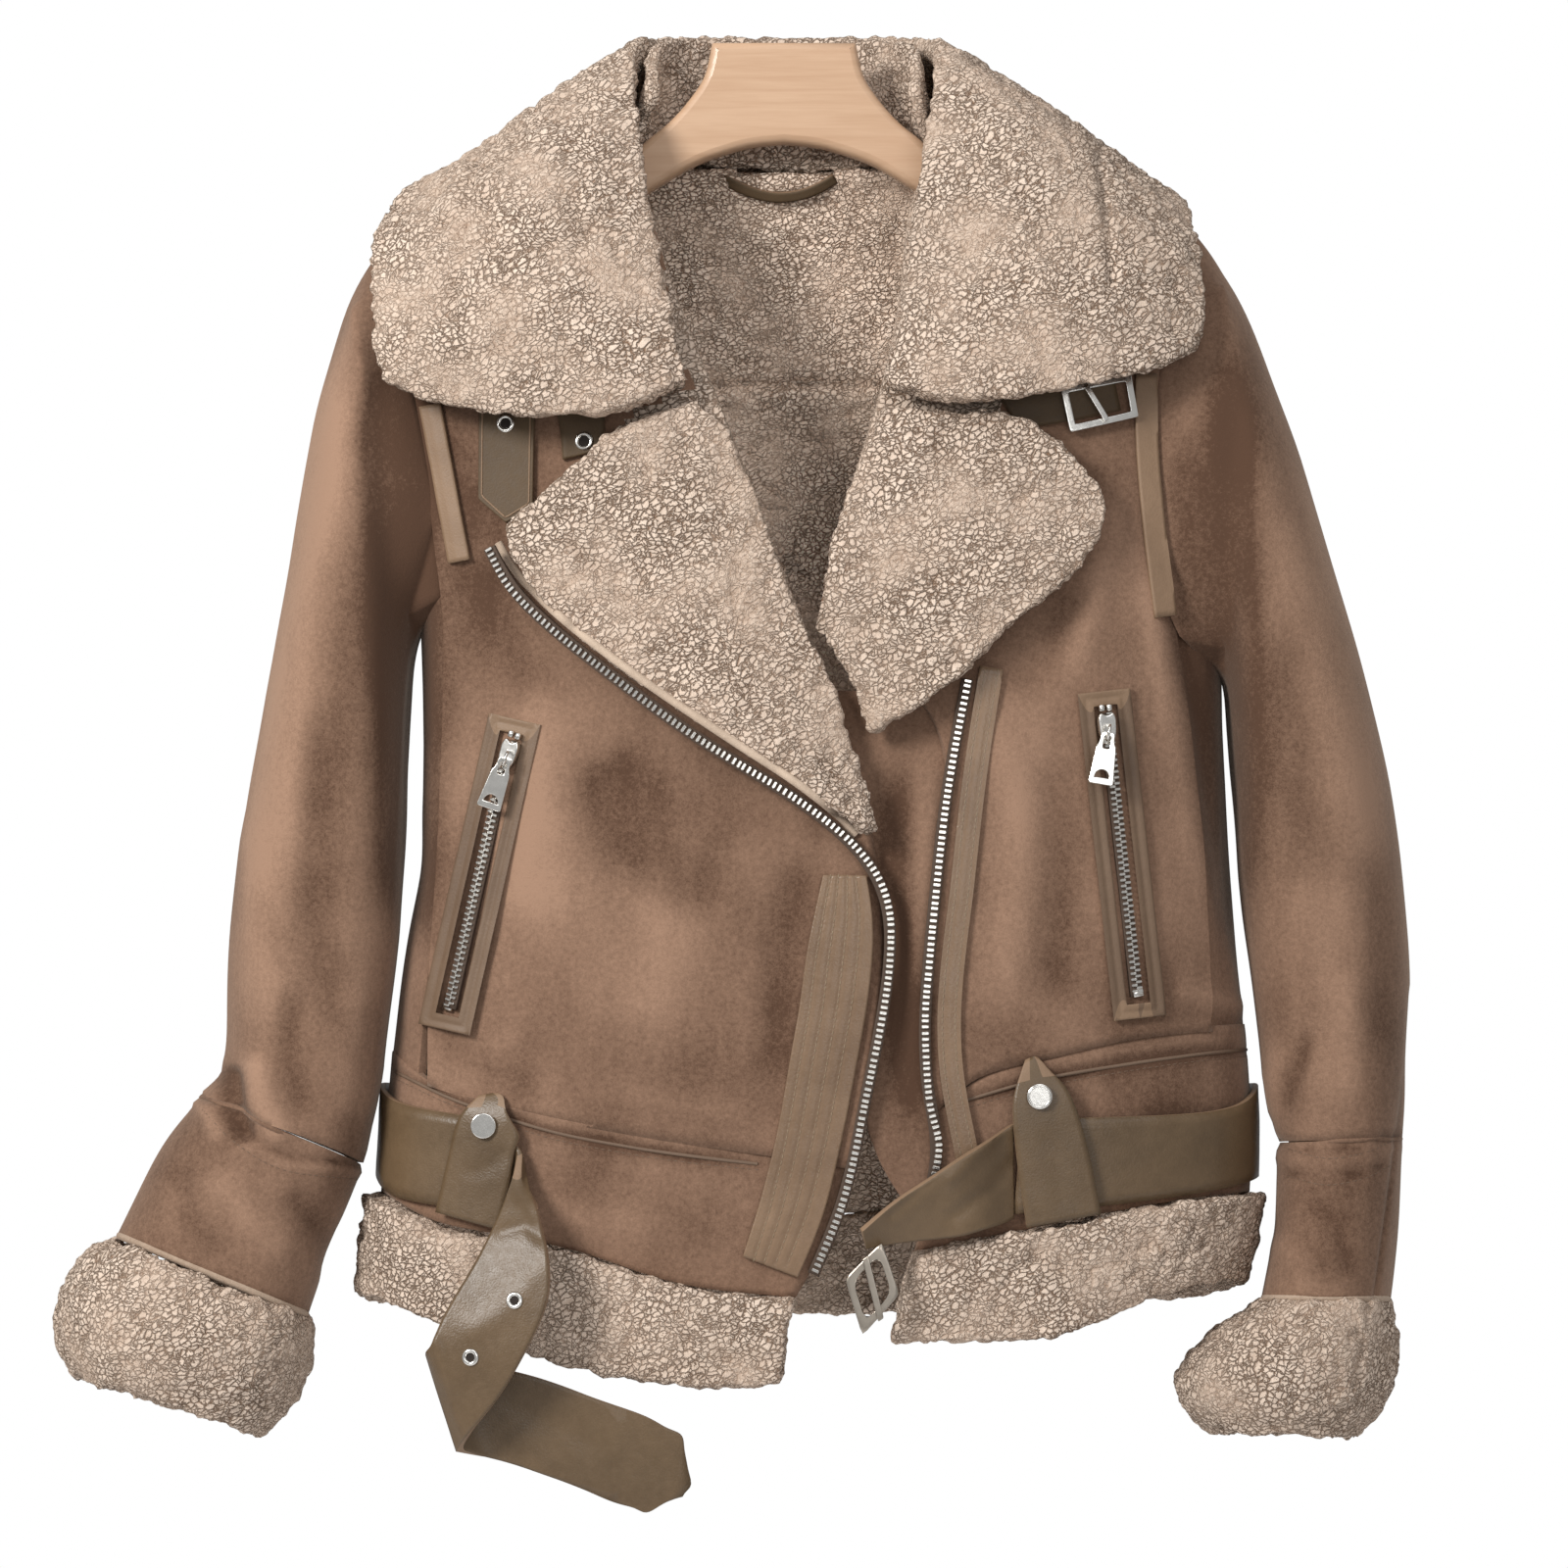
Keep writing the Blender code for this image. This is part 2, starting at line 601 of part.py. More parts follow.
def make_fronts():
    """Each front from its roll line and zip edge out to the armhole and the side seam."""
    inner = {
        "right": ROLL["right"] + [p for p in RIGHT_EDGE[1:] if p[1] < 550] + [(37.5, 566)],
        "left": ROLL["left"] + [(40, 318), (92, 334)] + [p for p in LEFT_EDGE[1:] if p[1] < 530],
    }
    inner["left"].append((74, 534))
    for side, sign in (("right", -1.0), ("left", 1.0)):
        edges = [front_outer_edge(side), [(x + sign, down) for x, down in inner[side]]]
        if side == "left":
            edges.reverse()
        grid = panel(edges[0], edges[1], PANEL_ROWS, FRONT_COLUMNS)
        foot = seam_down(WAIST_SEAM, turn_of(grid[-1, :, 0], grid[-1, :, 1])) - 2 * SEAM
        body_wall(side + "_front", bend_to_seams(grid, shoulder_seam(grid[0, :, 0]), foot))


def make_back():
    """The back, with its neckline scooped behind the hanger."""
    edges = [along(front_outer_edge(side), PANEL_ROWS) for side in ("right", "left")]
    neck = [0.26, 0.289, 0.301, 0.314, 0.335, 0.365, 0.42]
    shares = [0.0, 0.13] + neck + [0.497] + [0.994 - t for t in reversed(neck)]
    shares = np.array(shares + [0.87, 1.0])[None, :, None]
    flat = edges[0][:, None, :] * (1 - shares) + edges[1][:, None, :] * shares
    x_top = flat[0, :, 0]
    scoop = np.sqrt(np.clip(1 - (x_top / NECK_POINT) ** 2, 0.0, 1.0))
    top = shoulder_seam(x_top) + NECK_SCOOP * scoop
    turn = math.pi - turn_of(flat[-1, :, 0], flat[-1, :, 1])
    foot = seam_down(WAIST_SEAM, turn, WAIST_DROOP) - SEAM
    body_wall("back_panel", bend_to_seams(flat, top, foot, 1.0), 1.0)


def make_side_panel(side, sign):
    """The panel under the sleeve, from the front seam round to the back one."""
    rows, columns = 12, 7
    t = np.linspace(0.0, 1.0, columns)
    base = ARMHOLE_BASE[side]
    top = between([(0, base[0]), (0.25, base[1]), (0.5, base[2]), (0.75, base[1]),
                   (1, base[0])], 0, 1, t) + UNDERARM_GAP
    share = np.linspace(0.0, 1.0, rows)[:, None]
    foot = np.full(columns, float(WAIST_SEAM[0 if sign < 0 else -1][1]))
    for repeat in range(3):
        down = top[None, :] * (1 - share) + foot[None, :] * share
        seam_x = between(SIDE_SEAM[side], 1, 0, down) + sign * SIDE_SEAM_GAP
        front = turn_of(seam_x, down)
        back = sign * math.pi - front
        turn = front * (1 - t[None, :]) + back * t[None, :]
        foot = seam_down(WAIST_SEAM, turn[-1], WAIST_DROOP) - SEAM
    wall(side + "_side_panel", round_body(turn, down), CLOTH, "suede",
         inside=round_body(turn, down, -CLOTH))


def sleeve_ring(row, points=RING_POINTS, grow=0.0):
    """One ring of a sleeve, from its outer edge round the front to the inner edge and back."""
    out_x, out_down, in_x, in_down, mid_y, half_y = row
    outer, inner = np.array([out_x, out_down]), np.array([in_x, in_down])
    centre, arm = (outer + inner) / 2, (outer - inner) / 2
    arm = arm * (1 + grow / np.linalg.norm(arm))
    turn = np.linspace(0, 2 * math.pi, points, endpoint=False)
    power = 0.88
    a = np.sign(np.cos(turn)) * np.abs(np.cos(turn)) ** power
    b = np.sign(np.sin(turn)) * np.abs(np.sin(turn)) ** power
    flat = centre[None, :] + a[:, None] * arm[None, :]
    return np.column_stack([flat, mid_y - (half_y + grow) * b])


def armhole_ring(side, points=RING_POINTS):
    """The sleeve's first ring, just outside the armhole's edge."""
    sign = -1.0 if side == "right" else 1.0
    half = points // 2
    line = ARMHOLE[side]
    base = ARMHOLE_BASE[side]
    bottom_x = float(body_at(base[2])[0] + sign * body_at(base[2])[1])
    corner_x = line[-1][0]
    route = list(line) + [((corner_x + bottom_x) / 2, base[1]), (bottom_x, base[2])]
    route = along(route, half + 1)
    front = surface(route[:, 0], route[:, 1])
    front[-1, 2] = 0.0
    front[0, 2] = 0.0
    front[:, 0] += sign * ARMHOLE_GAP
    low = np.clip((np.arange(half + 1) - (half - 4)) / 3.0, 0.0, 1.0)
    front[:, 1] -= UNDERARM_GAP * low
    back = front[1:-1][::-1].copy()
    back[:, 2] *= -1
    return np.concatenate([front, back])


def make_sleeve(side):
    rings = np.array([armhole_ring(side)] + [sleeve_ring(row) for row in SLEEVE[side]])
    outer = place(rings)
    inner = set_in(outer, rings, CLOTH, True, None)
    inwards = (outer[0].mean(axis=0) - outer[0]) * (0.0, 1.0, 1.0)
    inwards /= np.linalg.norm(inwards, axis=1, keepdims=True)
    inner[0] = outer[0] + inwards * CLOTH / 1000.0
    close_wall(side + "_sleeve_upper", outer, inner, "suede", True)
    rings = [sleeve_ring(row) for row in FOREARM[side]]
    wall(side + "_sleeve_lower", np.array(rings), CLOTH, "suede", closed=True)
    rings = [sleeve_ring(row) for row in CUFF[side]]
    wall(side + "_cuff", np.array(rings), CUFF_FUR, "fur", closed=True)


def curve_of_three(section, t):
    start, half, end = [np.array(p, dtype=float) for p in section]
    t = t[:, None]
    return (start * (1 - t) * (1 - 2 * t) + 4 * half * t * (1 - t) + end * t * (2 * t - 1))


def make_collar():
    t = np.linspace(0.0, 1.0, 7)
    order = COLLAR["right"][::-1] + [COLLAR_BACK] + COLLAR["left"]
    flat = along([np.array(section, dtype=float).ravel() for section in order], 29)
    grid = np.array([curve_of_three(row.reshape(3, 3), t) for row in flat])
    thinner = np.linspace(COLLAR_FUR, COLLAR_EDGE, len(t))[:, None]
    wall("collar_fall", np.transpose(grid, (1, 0, 2)), thinner, "fur", outwards=(0, 0, 1))
    mirrored = [[(-x, down, y) for x, down, y in row] for row in STAND[:0:-1]]
    sections = mirrored + STAND
    flat = along([list(a) + list(b) for a, b in sections], 17)
    t = np.linspace(0.0, 1.0, 4)[:, None, None]
    grid = flat[None, :, 3:] * (1 - t) + flat[None, :, :3] * t
    wall("collar_stand", grid, STAND_FUR, "fur")


def make_lapel(side):
    rows, columns = 14, 7
    table = along(LAPEL[side], rows)
    t = np.linspace(0.0, 1.0, columns)[None, :]
    x = table[:, [0]] * (1 - t) + table[:, [2]] * t
    down = table[:, [1]] * (1 - t) + table[:, [3]] * t
    lift = LAPEL_FUR + LAID_ON + LAPEL_SWELL * np.sin(np.clip(t * 1.7, 0, 1) * math.pi / 2)
    grid = surface(x, down, lift + 0 * x)
    wall(side + "_lapel", grid, LAPEL_FUR, "fur", outwards=(0, -1, 0))


def girdle(name, front_edge, sign, top, foot, columns, lift, thickness, finish):
    """A band from a front edge round to the side, between two seams."""
    share = np.linspace(0.0, 1.0, GIRDLE_ROWS)[:, None]
    t = np.linspace(0.0, 1.0, columns)[None, :]
    side_turn = sign * (math.pi / 2 - SIDE_GAP)
    down = np.full((GIRDLE_ROWS, columns), 0.5 * (top[3][1] + foot[3][1]))
    for repeat in range(5):
        edge_x = between(front_edge, 1, 0, down[:, :1])
        start = turn_of(edge_x, down[:, :1])
        turn = start * (1 - t) + side_turn * t
        down = (seam_down(top, turn) + SEAM) * (1 - share) + (seam_down(foot, turn) - SEAM) * share
    wall(name, round_body(turn, down, lift), thickness, finish,
         inside=round_body(turn, down, lift - thickness))


def back_girdle(name, top, foot, droops, lift, thickness, finish):
    """The same band across the back, between the two sides."""
    share = np.linspace(0.0, 1.0, GIRDLE_ROWS)[:, None]
    t = np.linspace(0.0, 1.0, BACK_COLUMNS)[None, :]
    turn = (math.pi / 2 + SIDE_GAP) * (1 - t) + (3 * math.pi / 2 - SIDE_GAP) * t
    top_down = seam_down(top, turn, droops[0]) + SEAM
    foot_down = seam_down(foot, turn, droops[1]) - SEAM
    down = top_down * (1 - share) + foot_down * share
    wall(name, round_body(turn, down, lift), thickness, finish,
         inside=round_body(turn, down, lift - thickness))


def make_waist_and_hem():
    right_edge = [(x - 1.0, down) for x, down in RIGHT_EDGE] + [(-2, 700)]
    left_edge = [(x + 1.0, down) for x, down in LEFT_EDGE] + [(60, 640), (50, 700)]
    bands = (("waistband", WAIST_SEAM, HEM_TOP, (WAIST_DROOP, HEM_TOP_DROOP), 0.0, CLOTH,
              "suede"),
             ("hem", HEM_TOP, HEM_FOOT, (HEM_TOP_DROOP, HEM_FOOT_DROOP), HEM_LIFT, HEM_FUR,
              "fur"))
    for name, top, foot, droops, lift, thickness, finish in bands:
        girdle("right_" + name, right_edge, -1, top, foot, 14, lift, thickness, finish)
        girdle("left_" + name, left_edge, 1, top, foot, 12, lift, thickness, finish)
        back_girdle("back_" + name, top, foot, droops, lift, thickness, finish)


def make_front_trim():
    on_the_turned_edge = [13, 13, 13, 12, 9, 5]
    strip("right_front_zip", RIGHT_ZIP, ZIP_WIDTH, on_the_turned_edge + 4 * [TEETH_TOP],
          TEETH_THICK, "nickel", rows=30)
    strip("left_front_zip", LEFT_ZIP, ZIP_WIDTH, [TEETH_TOP], TEETH_THICK, "nickel", rows=16)
    for name, line, columns in (("right_placket", RIGHT_PLACKET, 4),
                                ("left_placket", LEFT_PLACKET, 2)):
        strip(name, line, None, [LEATHER + LAID_ON], LEATHER, "leather", 16, columns)
    for side in ("right", "left"):
        strip(side + "_armhole_piping", PIPING[side], PIPING_WIDTH, [LEATHER + LAID_ON], LEATHER,
              "leather", 10, 2)
    flap_left = [(24, 330), (38, 380), (38, 440), (36, 500), (40, 545), (50, 575), (62, 592)]
    flap_right = [(92, 330), (90, 380), (84, 440), (78, 500), (80, 545), (84, 575), (78, 592)]
    grid = panel(flap_left, flap_right, 12, 5, lift=-CLOTH - FLAP_GAP)
    wall("wind_flap", grid, CLOTH, "suede", outwards=(0, -1, 0))


def local_frame(side):
    """The pocket's own axes on the outline: its top end, its run down and across."""
    top, foot = [np.array(p, dtype=float) for p in POCKET[side]]
    run = (foot - top) / np.linalg.norm(foot - top)
    return top, foot, run, np.array([-run[1], run[0]])


def make_pocket(side):
    top, foot, run, across = local_frame(side)
    end = 7.0
    half = POCKET_WIDTH / 2
    corners = [top - run * end - across * half, top - run * end + across * half,
               foot + run * end + across * half, foot + run * end - across * half]
    frame_bar(side + "_pocket_welt", corners, (POCKET_WIDTH - POCKET_SLOT) / 2, LEATHER + 0.6,
              LEATHER + 1.0, "leather")
    strip(side + "_pocket_zip", [top + run * 4, (top + foot) / 2, foot - run * 4], ZIP_WIDTH, [2.8],
          2.0, "nickel", rows=10)
    slider = top + run * (SLIDER_LENGTH * 0.7)
    strip(side + "_pocket_slider", [slider - run * SLIDER_LENGTH / 2, slider,
                                    slider + run * SLIDER_LENGTH / 2],
          SLIDER_WIDTH, [SLIDER_TOP], 4.6, "nickel", rows=4)
    hinge, tip, y_hinge, y_tip = pull_line(side)
    wide = np.array([hinge[1] - tip[1], tip[0] - hinge[0]]) / PULL_LENGTH
    sections = []
    for share, width in ((0.0, 7.0), (0.3, 6.0), (0.4, PULL_WIDTH - 3), (1.0, PULL_WIDTH)):
        at = hinge * (1 - share) + tip * share
        y = y_hinge * (1 - share) + y_tip * share - PULL_THICK / 2
        a, b = at - wide * width / 2, at + wide * width / 2
        sections.append(((a[0], a[1], y), (b[0], b[1], y)))
    ribbon(side + "_pocket_pull", sections, 7, PULL_THICK, "nickel", columns=3)


def pull_line(side):
    """The pull tab's hinge and tip as (x, down), and the depth of its middle at each."""
    top, foot, run, across = local_frame(side)
    hinge = top + run * (SLIDER_LENGTH * 0.7 + 2.0)
    hang = np.array(PULL_HANG[side])
    tip = hinge + hang / np.linalg.norm(hang) * PULL_LENGTH
    lift = SLIDER_TOP + PULL_GAP + PULL_THICK / 2
    y_hinge = float(surface(hinge[0], hinge[1], lift)[2])
    y_tip = float(surface(tip[0], tip[1], lift + PULL_TIP_LIFT)[2])
    return hinge, tip, y_hinge, y_tip


def make_belt():
    rows, columns = 3, 36
    start = turn_of(-152.0, 570.0)
    end = turn_of(118.0, 575.0)
    route = [
        # turn in degrees round the body, top, foot
        (math.degrees(start), 548, 597), (-75, 538, 587), (-90, 531, 577), (-135, 536, 586),
        (-180, 542, 593), (-225, 537, 587), (-270, 531, 579), (-290, 541, 584),
        (math.degrees(end) - 360, 549, 599),
    ]
    turns = np.linspace(route[0][0], route[-1][0], columns)
    top = between(route, 0, 1, turns)
    foot = between(route, 0, 2, turns) - 2.0
    share = np.linspace(0.0, 1.0, rows)[:, None]
    down = top[None, :] * (1 - share) + foot[None, :] * share
    grid = round_body(np.radians(turns)[None, :] + 0 * down, down, BELT_LIFT)
    wall("belt_back", grid, BELT, "leather")

    tail = [
        # left edge, right edge
        ((-151.4, 549, -66.5), (-151.4, 594.5, -66.5)),
        ((-145, 553, -68.5), (-145, 595, -68.5)),
        ((-138, 560, -70.2), (-134.5, 595, -72)),
        ((-140, 588, -84), (-127, 592, -94)),
        ((-148, 606, -92), (-121, 612, -104)),
        ((-160, 628, -98), (-119, 634, -110)),
        ((-172, 647, -102), (-123, 650, -112)),
        ((-177, 658, -104), (-132, 668, -112)),
        ((-179.5, 664, -105), (-146, 692, -110)),
        ((-180.5, 667, -101), (-164, 714, -104)),
        ((-180, 669, -96), (-164, 718, -96)),
        ((-172, 671, -92), (-156, 720, -92)),
        ((-135, 678, -90), (-140, 724, -90)),
        ((-95, 692, -90), (-108, 735, -90)),
        ((-58, 708, -90), (-72, 747, -90)),
        ((-48, 724, -90), (-52, 741, -90)),
    ]
    ribbon("belt_tail", tail, 26, BELT, "leather", columns=4)
    buckle_end = [
        # upper edge, lower edge
        ((117.4, 551, -78.2), (117.4, 599, -78.2)),
        ((110, 556, -82), (112, 602, -82)),
        ((103, 561, -90), (105, 604, -88)),
        ((92, 568, -98), (92, 608, -92)),
        ((74, 580, -102), (76, 610, -93)),
        ((56, 592, -103), (58, 612, -94)),
        ((40, 606, -102), (42, 615, -95)),
    ]
    ribbon("belt_buckle_end", buckle_end, 14, BELT, "leather", columns=4)


def make_loops():
    """The leather loops that hold the belt, each pinned by a snap at its pointed top."""
    loops = {
        "right": [((-157, 537), (-150, 537)), ((-166, 547), (-139, 549)),
                  ((-171, 566), (-139, 572)), ((-178, 596), (-146, 605))],
        "left": [((123, 520), (130, 520)), ((117, 536), (143, 530)),
                 ((118, 560), (152, 552)), ((124, 604), (162, 597))],
    }
    for side, rows in loops.items():
        flat = along([list(a) + list(b) for a, b in rows], 9)
        t = np.linspace(0.0, 1.0, 4)[None, :, None]
        grid = flat[:, None, :2] * (1 - t) + flat[:, None, 2:] * t
        lift = np.interp(np.linspace(0, 1, 9), [0, 0.12, 0.3, 1.0], [2.3, 6.4, 7.8, 7.8])
        wall(side + "_belt_loop", surface(grid[..., 0], grid[..., 1], lift[:, None]), LEATHER,
             "leather")
    snaps = {"right": (-153.5, 552.0, 11.2), "left": (130.5, 537.0, 10.1)}
    for side, (x, down, lift) in snaps.items():
        y = float(surface(x, down, lift)[2])
        disc(side + "_snap", x, down, y, SNAP_RADIUS, SNAP_THICK, "nickel")
    t = np.linspace(-0.5, 0.5, 4)
    down = np.linspace(526, 592, 7)[:, None] + 0 * t[None, :]
    middle = float(body_at(560)[0])
    x = middle + 32.0 * t[None, :] + 0 * down
    lift = np.interp(down, [526, 537, 592], [LEATHER - LAID_ON, 7.0, 7.0])
    wall("back_belt_loop", surface(x, down, lift, 1.0), LEATHER, "leather")


def make_throat_straps():
    straps = {
        "right_throat_strap_outer": [((-156, 176), (-128, 178)), ((-156, 205), (-127, 208)),
                                     ((-156, 233), (-126, 232)), ((-143, 244), (-138, 244))],
        "right_throat_strap_inner": [((-117, 182), (-92, 184)), ((-114, 198), (-92, 200)),
                                     ((-113, 212), (-97, 208))],
        "left_throat_strap": [((110, 180), (120, 196)), ((132, 176), (136, 194)),
                              ((150, 172), (153, 191)), ((168, 168), (172, 187))],
    }
    for name, rows in straps.items():
        flat = along([list(a) + list(b) for a, b in rows], 7)
        t = np.linspace(0.0, 1.0, 3)[None, :, None]
        grid = flat[:, None, :2] * (1 - t) + flat[:, None, 2:] * t
        wall(name, surface(grid[..., 0], grid[..., 1], LEATHER + LAID_ON), LEATHER, "leather")
    corners = [(141, 175), (177, 168), (181, 190), (146, 198)]
    frame_bar("throat_buckle", corners, 3.4, 3.0, 6.4, "nickel")
    strip("throat_buckle_prong", [(154, 174), (159, 182), (165, 192)], 2.6, [8.6, 9.2, 8.6], 1.8,
          "nickel", rows=4)


def make_belt_buckle():
    corners = [(50, 611), (59, 638), (40, 659), (31, 630)]
    frame_bar("belt_buckle", corners, 4.2, 3.2, 0.0, "nickel", flat_y=-99.0)
    ribbon("belt_buckle_prong", [((40, 620, -101.4), (43, 618, -101.4)),
                                 ((48, 652, -101.4), (51, 650, -101.4))], 3, 2.0, "nickel", 2)


def make_hanger_loop():
    line = [(-31, 68), (-22, 73), (-3, 78), (16, 74), (26, 68)]
    sewn, free = -CLOTH - 2.2, -CLOTH - 6.0
    strip("hanger_loop", line, HANGER_LOOP_WIDTH, [sewn, free, free, free, sewn], LEATHER,
          "leather", 11, 1, 1.0)


def main():
    remove_old()
    make_hanger()
    make_fronts()
    make_back()
    make_side_panel("right", -1.0)
    make_side_panel("left", 1.0)
    for side in ("right", "left"):
        make_sleeve(side)
        make_lapel(side)
        make_pocket(side)
    make_collar()
    make_waist_and_hem()
    make_front_trim()
    make_belt()
    make_loops()
    make_throat_straps()
    make_belt_buckle()
    make_hanger_loop()


main()
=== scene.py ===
# %% [markdown]
# # A shearling jacket on its hanger
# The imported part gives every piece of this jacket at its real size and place. This lesson dresses
# it: suede that drapes and creases, curly fur on the collar, cuffs and hem, leather straps, metal
# zips and buckles, and a wooden hanger. We load the part first, because nothing may leave its box.

# %% Load the fixed frame
import itertools
import json
import math

import bmesh
import bpy
import numpy as np
from mathutils import Matrix, Vector
from mathutils.bvhtree import BVHTree

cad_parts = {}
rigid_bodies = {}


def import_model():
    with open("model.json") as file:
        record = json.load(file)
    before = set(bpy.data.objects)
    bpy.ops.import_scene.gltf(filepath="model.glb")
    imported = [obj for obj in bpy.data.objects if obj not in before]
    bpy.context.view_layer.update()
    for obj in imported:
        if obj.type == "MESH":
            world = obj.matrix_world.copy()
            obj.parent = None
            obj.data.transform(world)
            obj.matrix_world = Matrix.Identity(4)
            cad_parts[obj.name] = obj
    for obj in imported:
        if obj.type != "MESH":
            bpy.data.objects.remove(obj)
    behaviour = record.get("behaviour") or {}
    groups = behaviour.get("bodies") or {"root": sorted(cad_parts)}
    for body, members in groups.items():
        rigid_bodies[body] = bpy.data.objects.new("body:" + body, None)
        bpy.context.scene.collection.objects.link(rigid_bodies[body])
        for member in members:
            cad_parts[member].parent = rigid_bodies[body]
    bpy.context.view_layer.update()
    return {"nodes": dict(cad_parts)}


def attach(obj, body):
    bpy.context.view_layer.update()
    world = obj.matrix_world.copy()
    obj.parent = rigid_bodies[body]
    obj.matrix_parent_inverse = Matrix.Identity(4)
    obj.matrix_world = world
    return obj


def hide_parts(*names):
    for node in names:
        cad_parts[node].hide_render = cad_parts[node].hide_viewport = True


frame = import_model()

print("nodes in the frame:", len(frame["nodes"]))

# %% [markdown]
# ## The eye
# The jacket was pictured straight from the front by a long lens. With the same camera we can name
# any place on the jacket by its pixel in a picture 1600 pixels wide, and find the point in space
# by sending a ray through that pixel. That keeps stitches, creases and rivets where they belong.

# %% Camera
EYE = Vector((0.0, -2.06, -0.3888))
LENS, SENSOR, PICTURE = 90.0, 36.0, 1600.0
ZOOM = PICTURE * LENS / SENSOR
MM = 0.001

camera = bpy.data.objects.new("camera", bpy.data.cameras.new("camera"))
camera.data.lens = LENS
camera.data.sensor_width = SENSOR
camera.location = EYE
camera.rotation_euler = (math.radians(90), 0, 0)
bpy.context.scene.collection.objects.link(camera)
bpy.context.scene.camera = camera


def pixels_of(points):
    """The picture's x and y of points in metres."""
    away = points[:, 1] - EYE.y
    across = PICTURE / 2 + ZOOM * points[:, 0] / away
    down = PICTURE / 2 - ZOOM * (points[:, 2] - EYE.z) / away
    return np.column_stack([across, down])


def point_at(pixel, y):
    """The point behind a pixel that lies at a depth y."""
    away = (y - EYE.y) / ZOOM
    return Vector(((pixel[0] - PICTURE / 2) * away, y, EYE.z - (pixel[1] - PICTURE / 2) * away))


print("one pixel at the jacket is", round(1000 * -EYE.y / ZOOM, 2), "mm")

# %% [markdown]
# ## Shader maths as Python
# A material is a graph of nodes. Long graphs are hard to read as node calls, so one small class
# wraps a socket, and sums on it add the nodes. Numbers use Math nodes, colours Mix nodes and
# vectors Vector Math nodes, because a Math node would turn a colour grey.

# %% A socket that takes part in sums
MIX_COLOURS = (6, 7)
MIX_RESULT = 2


class Value:
    """One output socket of a material."""

    def __init__(self, tree, socket):
        self.tree, self.socket = tree, socket

    def node(self, kind, settings=None, inputs=None, output=0):
        """Any node: its type, its settings, which are set first, and its sockets."""
        made = self.tree.nodes.new(kind)
        for name, value in (settings or {}).items():
            if name == "stops":
                ramp = made.color_ramp
                while len(ramp.elements) < len(value):
                    ramp.elements.new(0.5)
                for element, (place, colour) in zip(ramp.elements, value):
                    element.position, element.color = place, colour
            else:
                setattr(made, name, value)
        for name, value in (inputs or {}).items():
            socket = made.inputs[name]
            if isinstance(value, Value):
                self.tree.links.new(value.socket, socket)
            else:
                socket.default_value = value
        return Value(self.tree, made.outputs[output])

    def sum(self, word, other, swapped=False):
        kinds = {self.socket.type, other.socket.type if isinstance(other, Value) else ""}
        pair = (other, self) if swapped else (self, other)
        if "RGBA" in kinds:
            pair = [p if isinstance(p, Value) else (p, p, p, 1.0) for p in pair]
            return self.node("ShaderNodeMix", {"data_type": "RGBA", "blend_type": word},
                             {0: 1.0, MIX_COLOURS[0]: pair[0], MIX_COLOURS[1]: pair[1]}, MIX_RESULT)
        if "VECTOR" in kinds:
            pair = [p if isinstance(p, (Value, tuple)) else (p, p, p) for p in pair]
            return self.node("ShaderNodeVectorMath", {"operation": word}, dict(enumerate(pair)))
        return self.node("ShaderNodeMath", {"operation": word}, dict(enumerate(pair)))

    def __add__(self, other):
        return self.sum("ADD", other)

    def __radd__(self, other):
        return self.sum("ADD", other, True)

    def __sub__(self, other):
        return self.sum("SUBTRACT", other)

    def __rsub__(self, other):
        return self.sum("SUBTRACT", other, True)

    def __mul__(self, other):
        return self.sum("MULTIPLY", other)

    def __rmul__(self, other):
        return self.sum("MULTIPLY", other, True)

    def clamped(self):
        return self.node("ShaderNodeClamp", None, {0: self})

    def between(self, first, second):
        """The colour that this number picks between two colours."""
        return self.node("ShaderNodeMix", {"data_type": "RGBA"},
                         {0: self, MIX_COLOURS[0]: first, MIX_COLOURS[1]: second}, MIX_RESULT)

    def noise(self, per_metre, detail=2.0, rough=0.5, bend=0.0):
        return self.node("ShaderNodeTexNoise", None,
                         {"Vector": self, "Scale": per_metre, "Detail": detail,
                          "Roughness": rough, "Distortion": bend})

    def cells(self, per_metre, feature="F1"):
        return self.node("ShaderNodeTexVoronoi", {"feature": feature},
                         {"Vector": self, "Scale": per_metre})

    def bump(self, distance, strength=1.0):
        """The normal of a surface that this height raises, in metres."""
        return self.node("ShaderNodeBump", None,
                         {"Height": self, "Distance": distance, "Strength": strength})


class Finish:
    """A material: its shader's sockets by name, and the place on the object as a Value."""

    def __init__(self, name):
        self.material = bpy.data.materials.new(name)
        self.material.use_nodes = True
        tree = self.material.node_tree
        self.shader = tree.nodes["Principled BSDF"]
        self.place = Value(tree, tree.nodes.new("ShaderNodeTexCoord").outputs["Object"])

    def __setitem__(self, socket, value):
        if isinstance(value, Value):
            value.tree.links.new(value.socket, self.shader.inputs[socket])
        else:
            self.shader.inputs[socket].default_value = value

    def layer(self, name):
        """A number that the mesh carries at each point."""
        return self.place.node("ShaderNodeAttribute", {"attribute_name": name}, None, 2)


print("shader maths is ready")

# %% [markdown]
# ## Suede
# The face is brushed, so it has no shine, a velvety paler rim, and clouds of lighter and darker
# nap where a hand has passed. Large soft noise gives the clouds, noise drawn out down the cloth
# gives the strokes, and fine noise gives the nap itself. A layer called fold holds painted shade,
# which darkens hollows, seams and the sides turned from the light, and painted light on ridges and lit
# sides.

# %% Suede
SUEDE_DARK = (0.090, 0.048, 0.030, 1.0)
SUEDE_LIGHT = (0.335, 0.205, 0.138, 1.0)


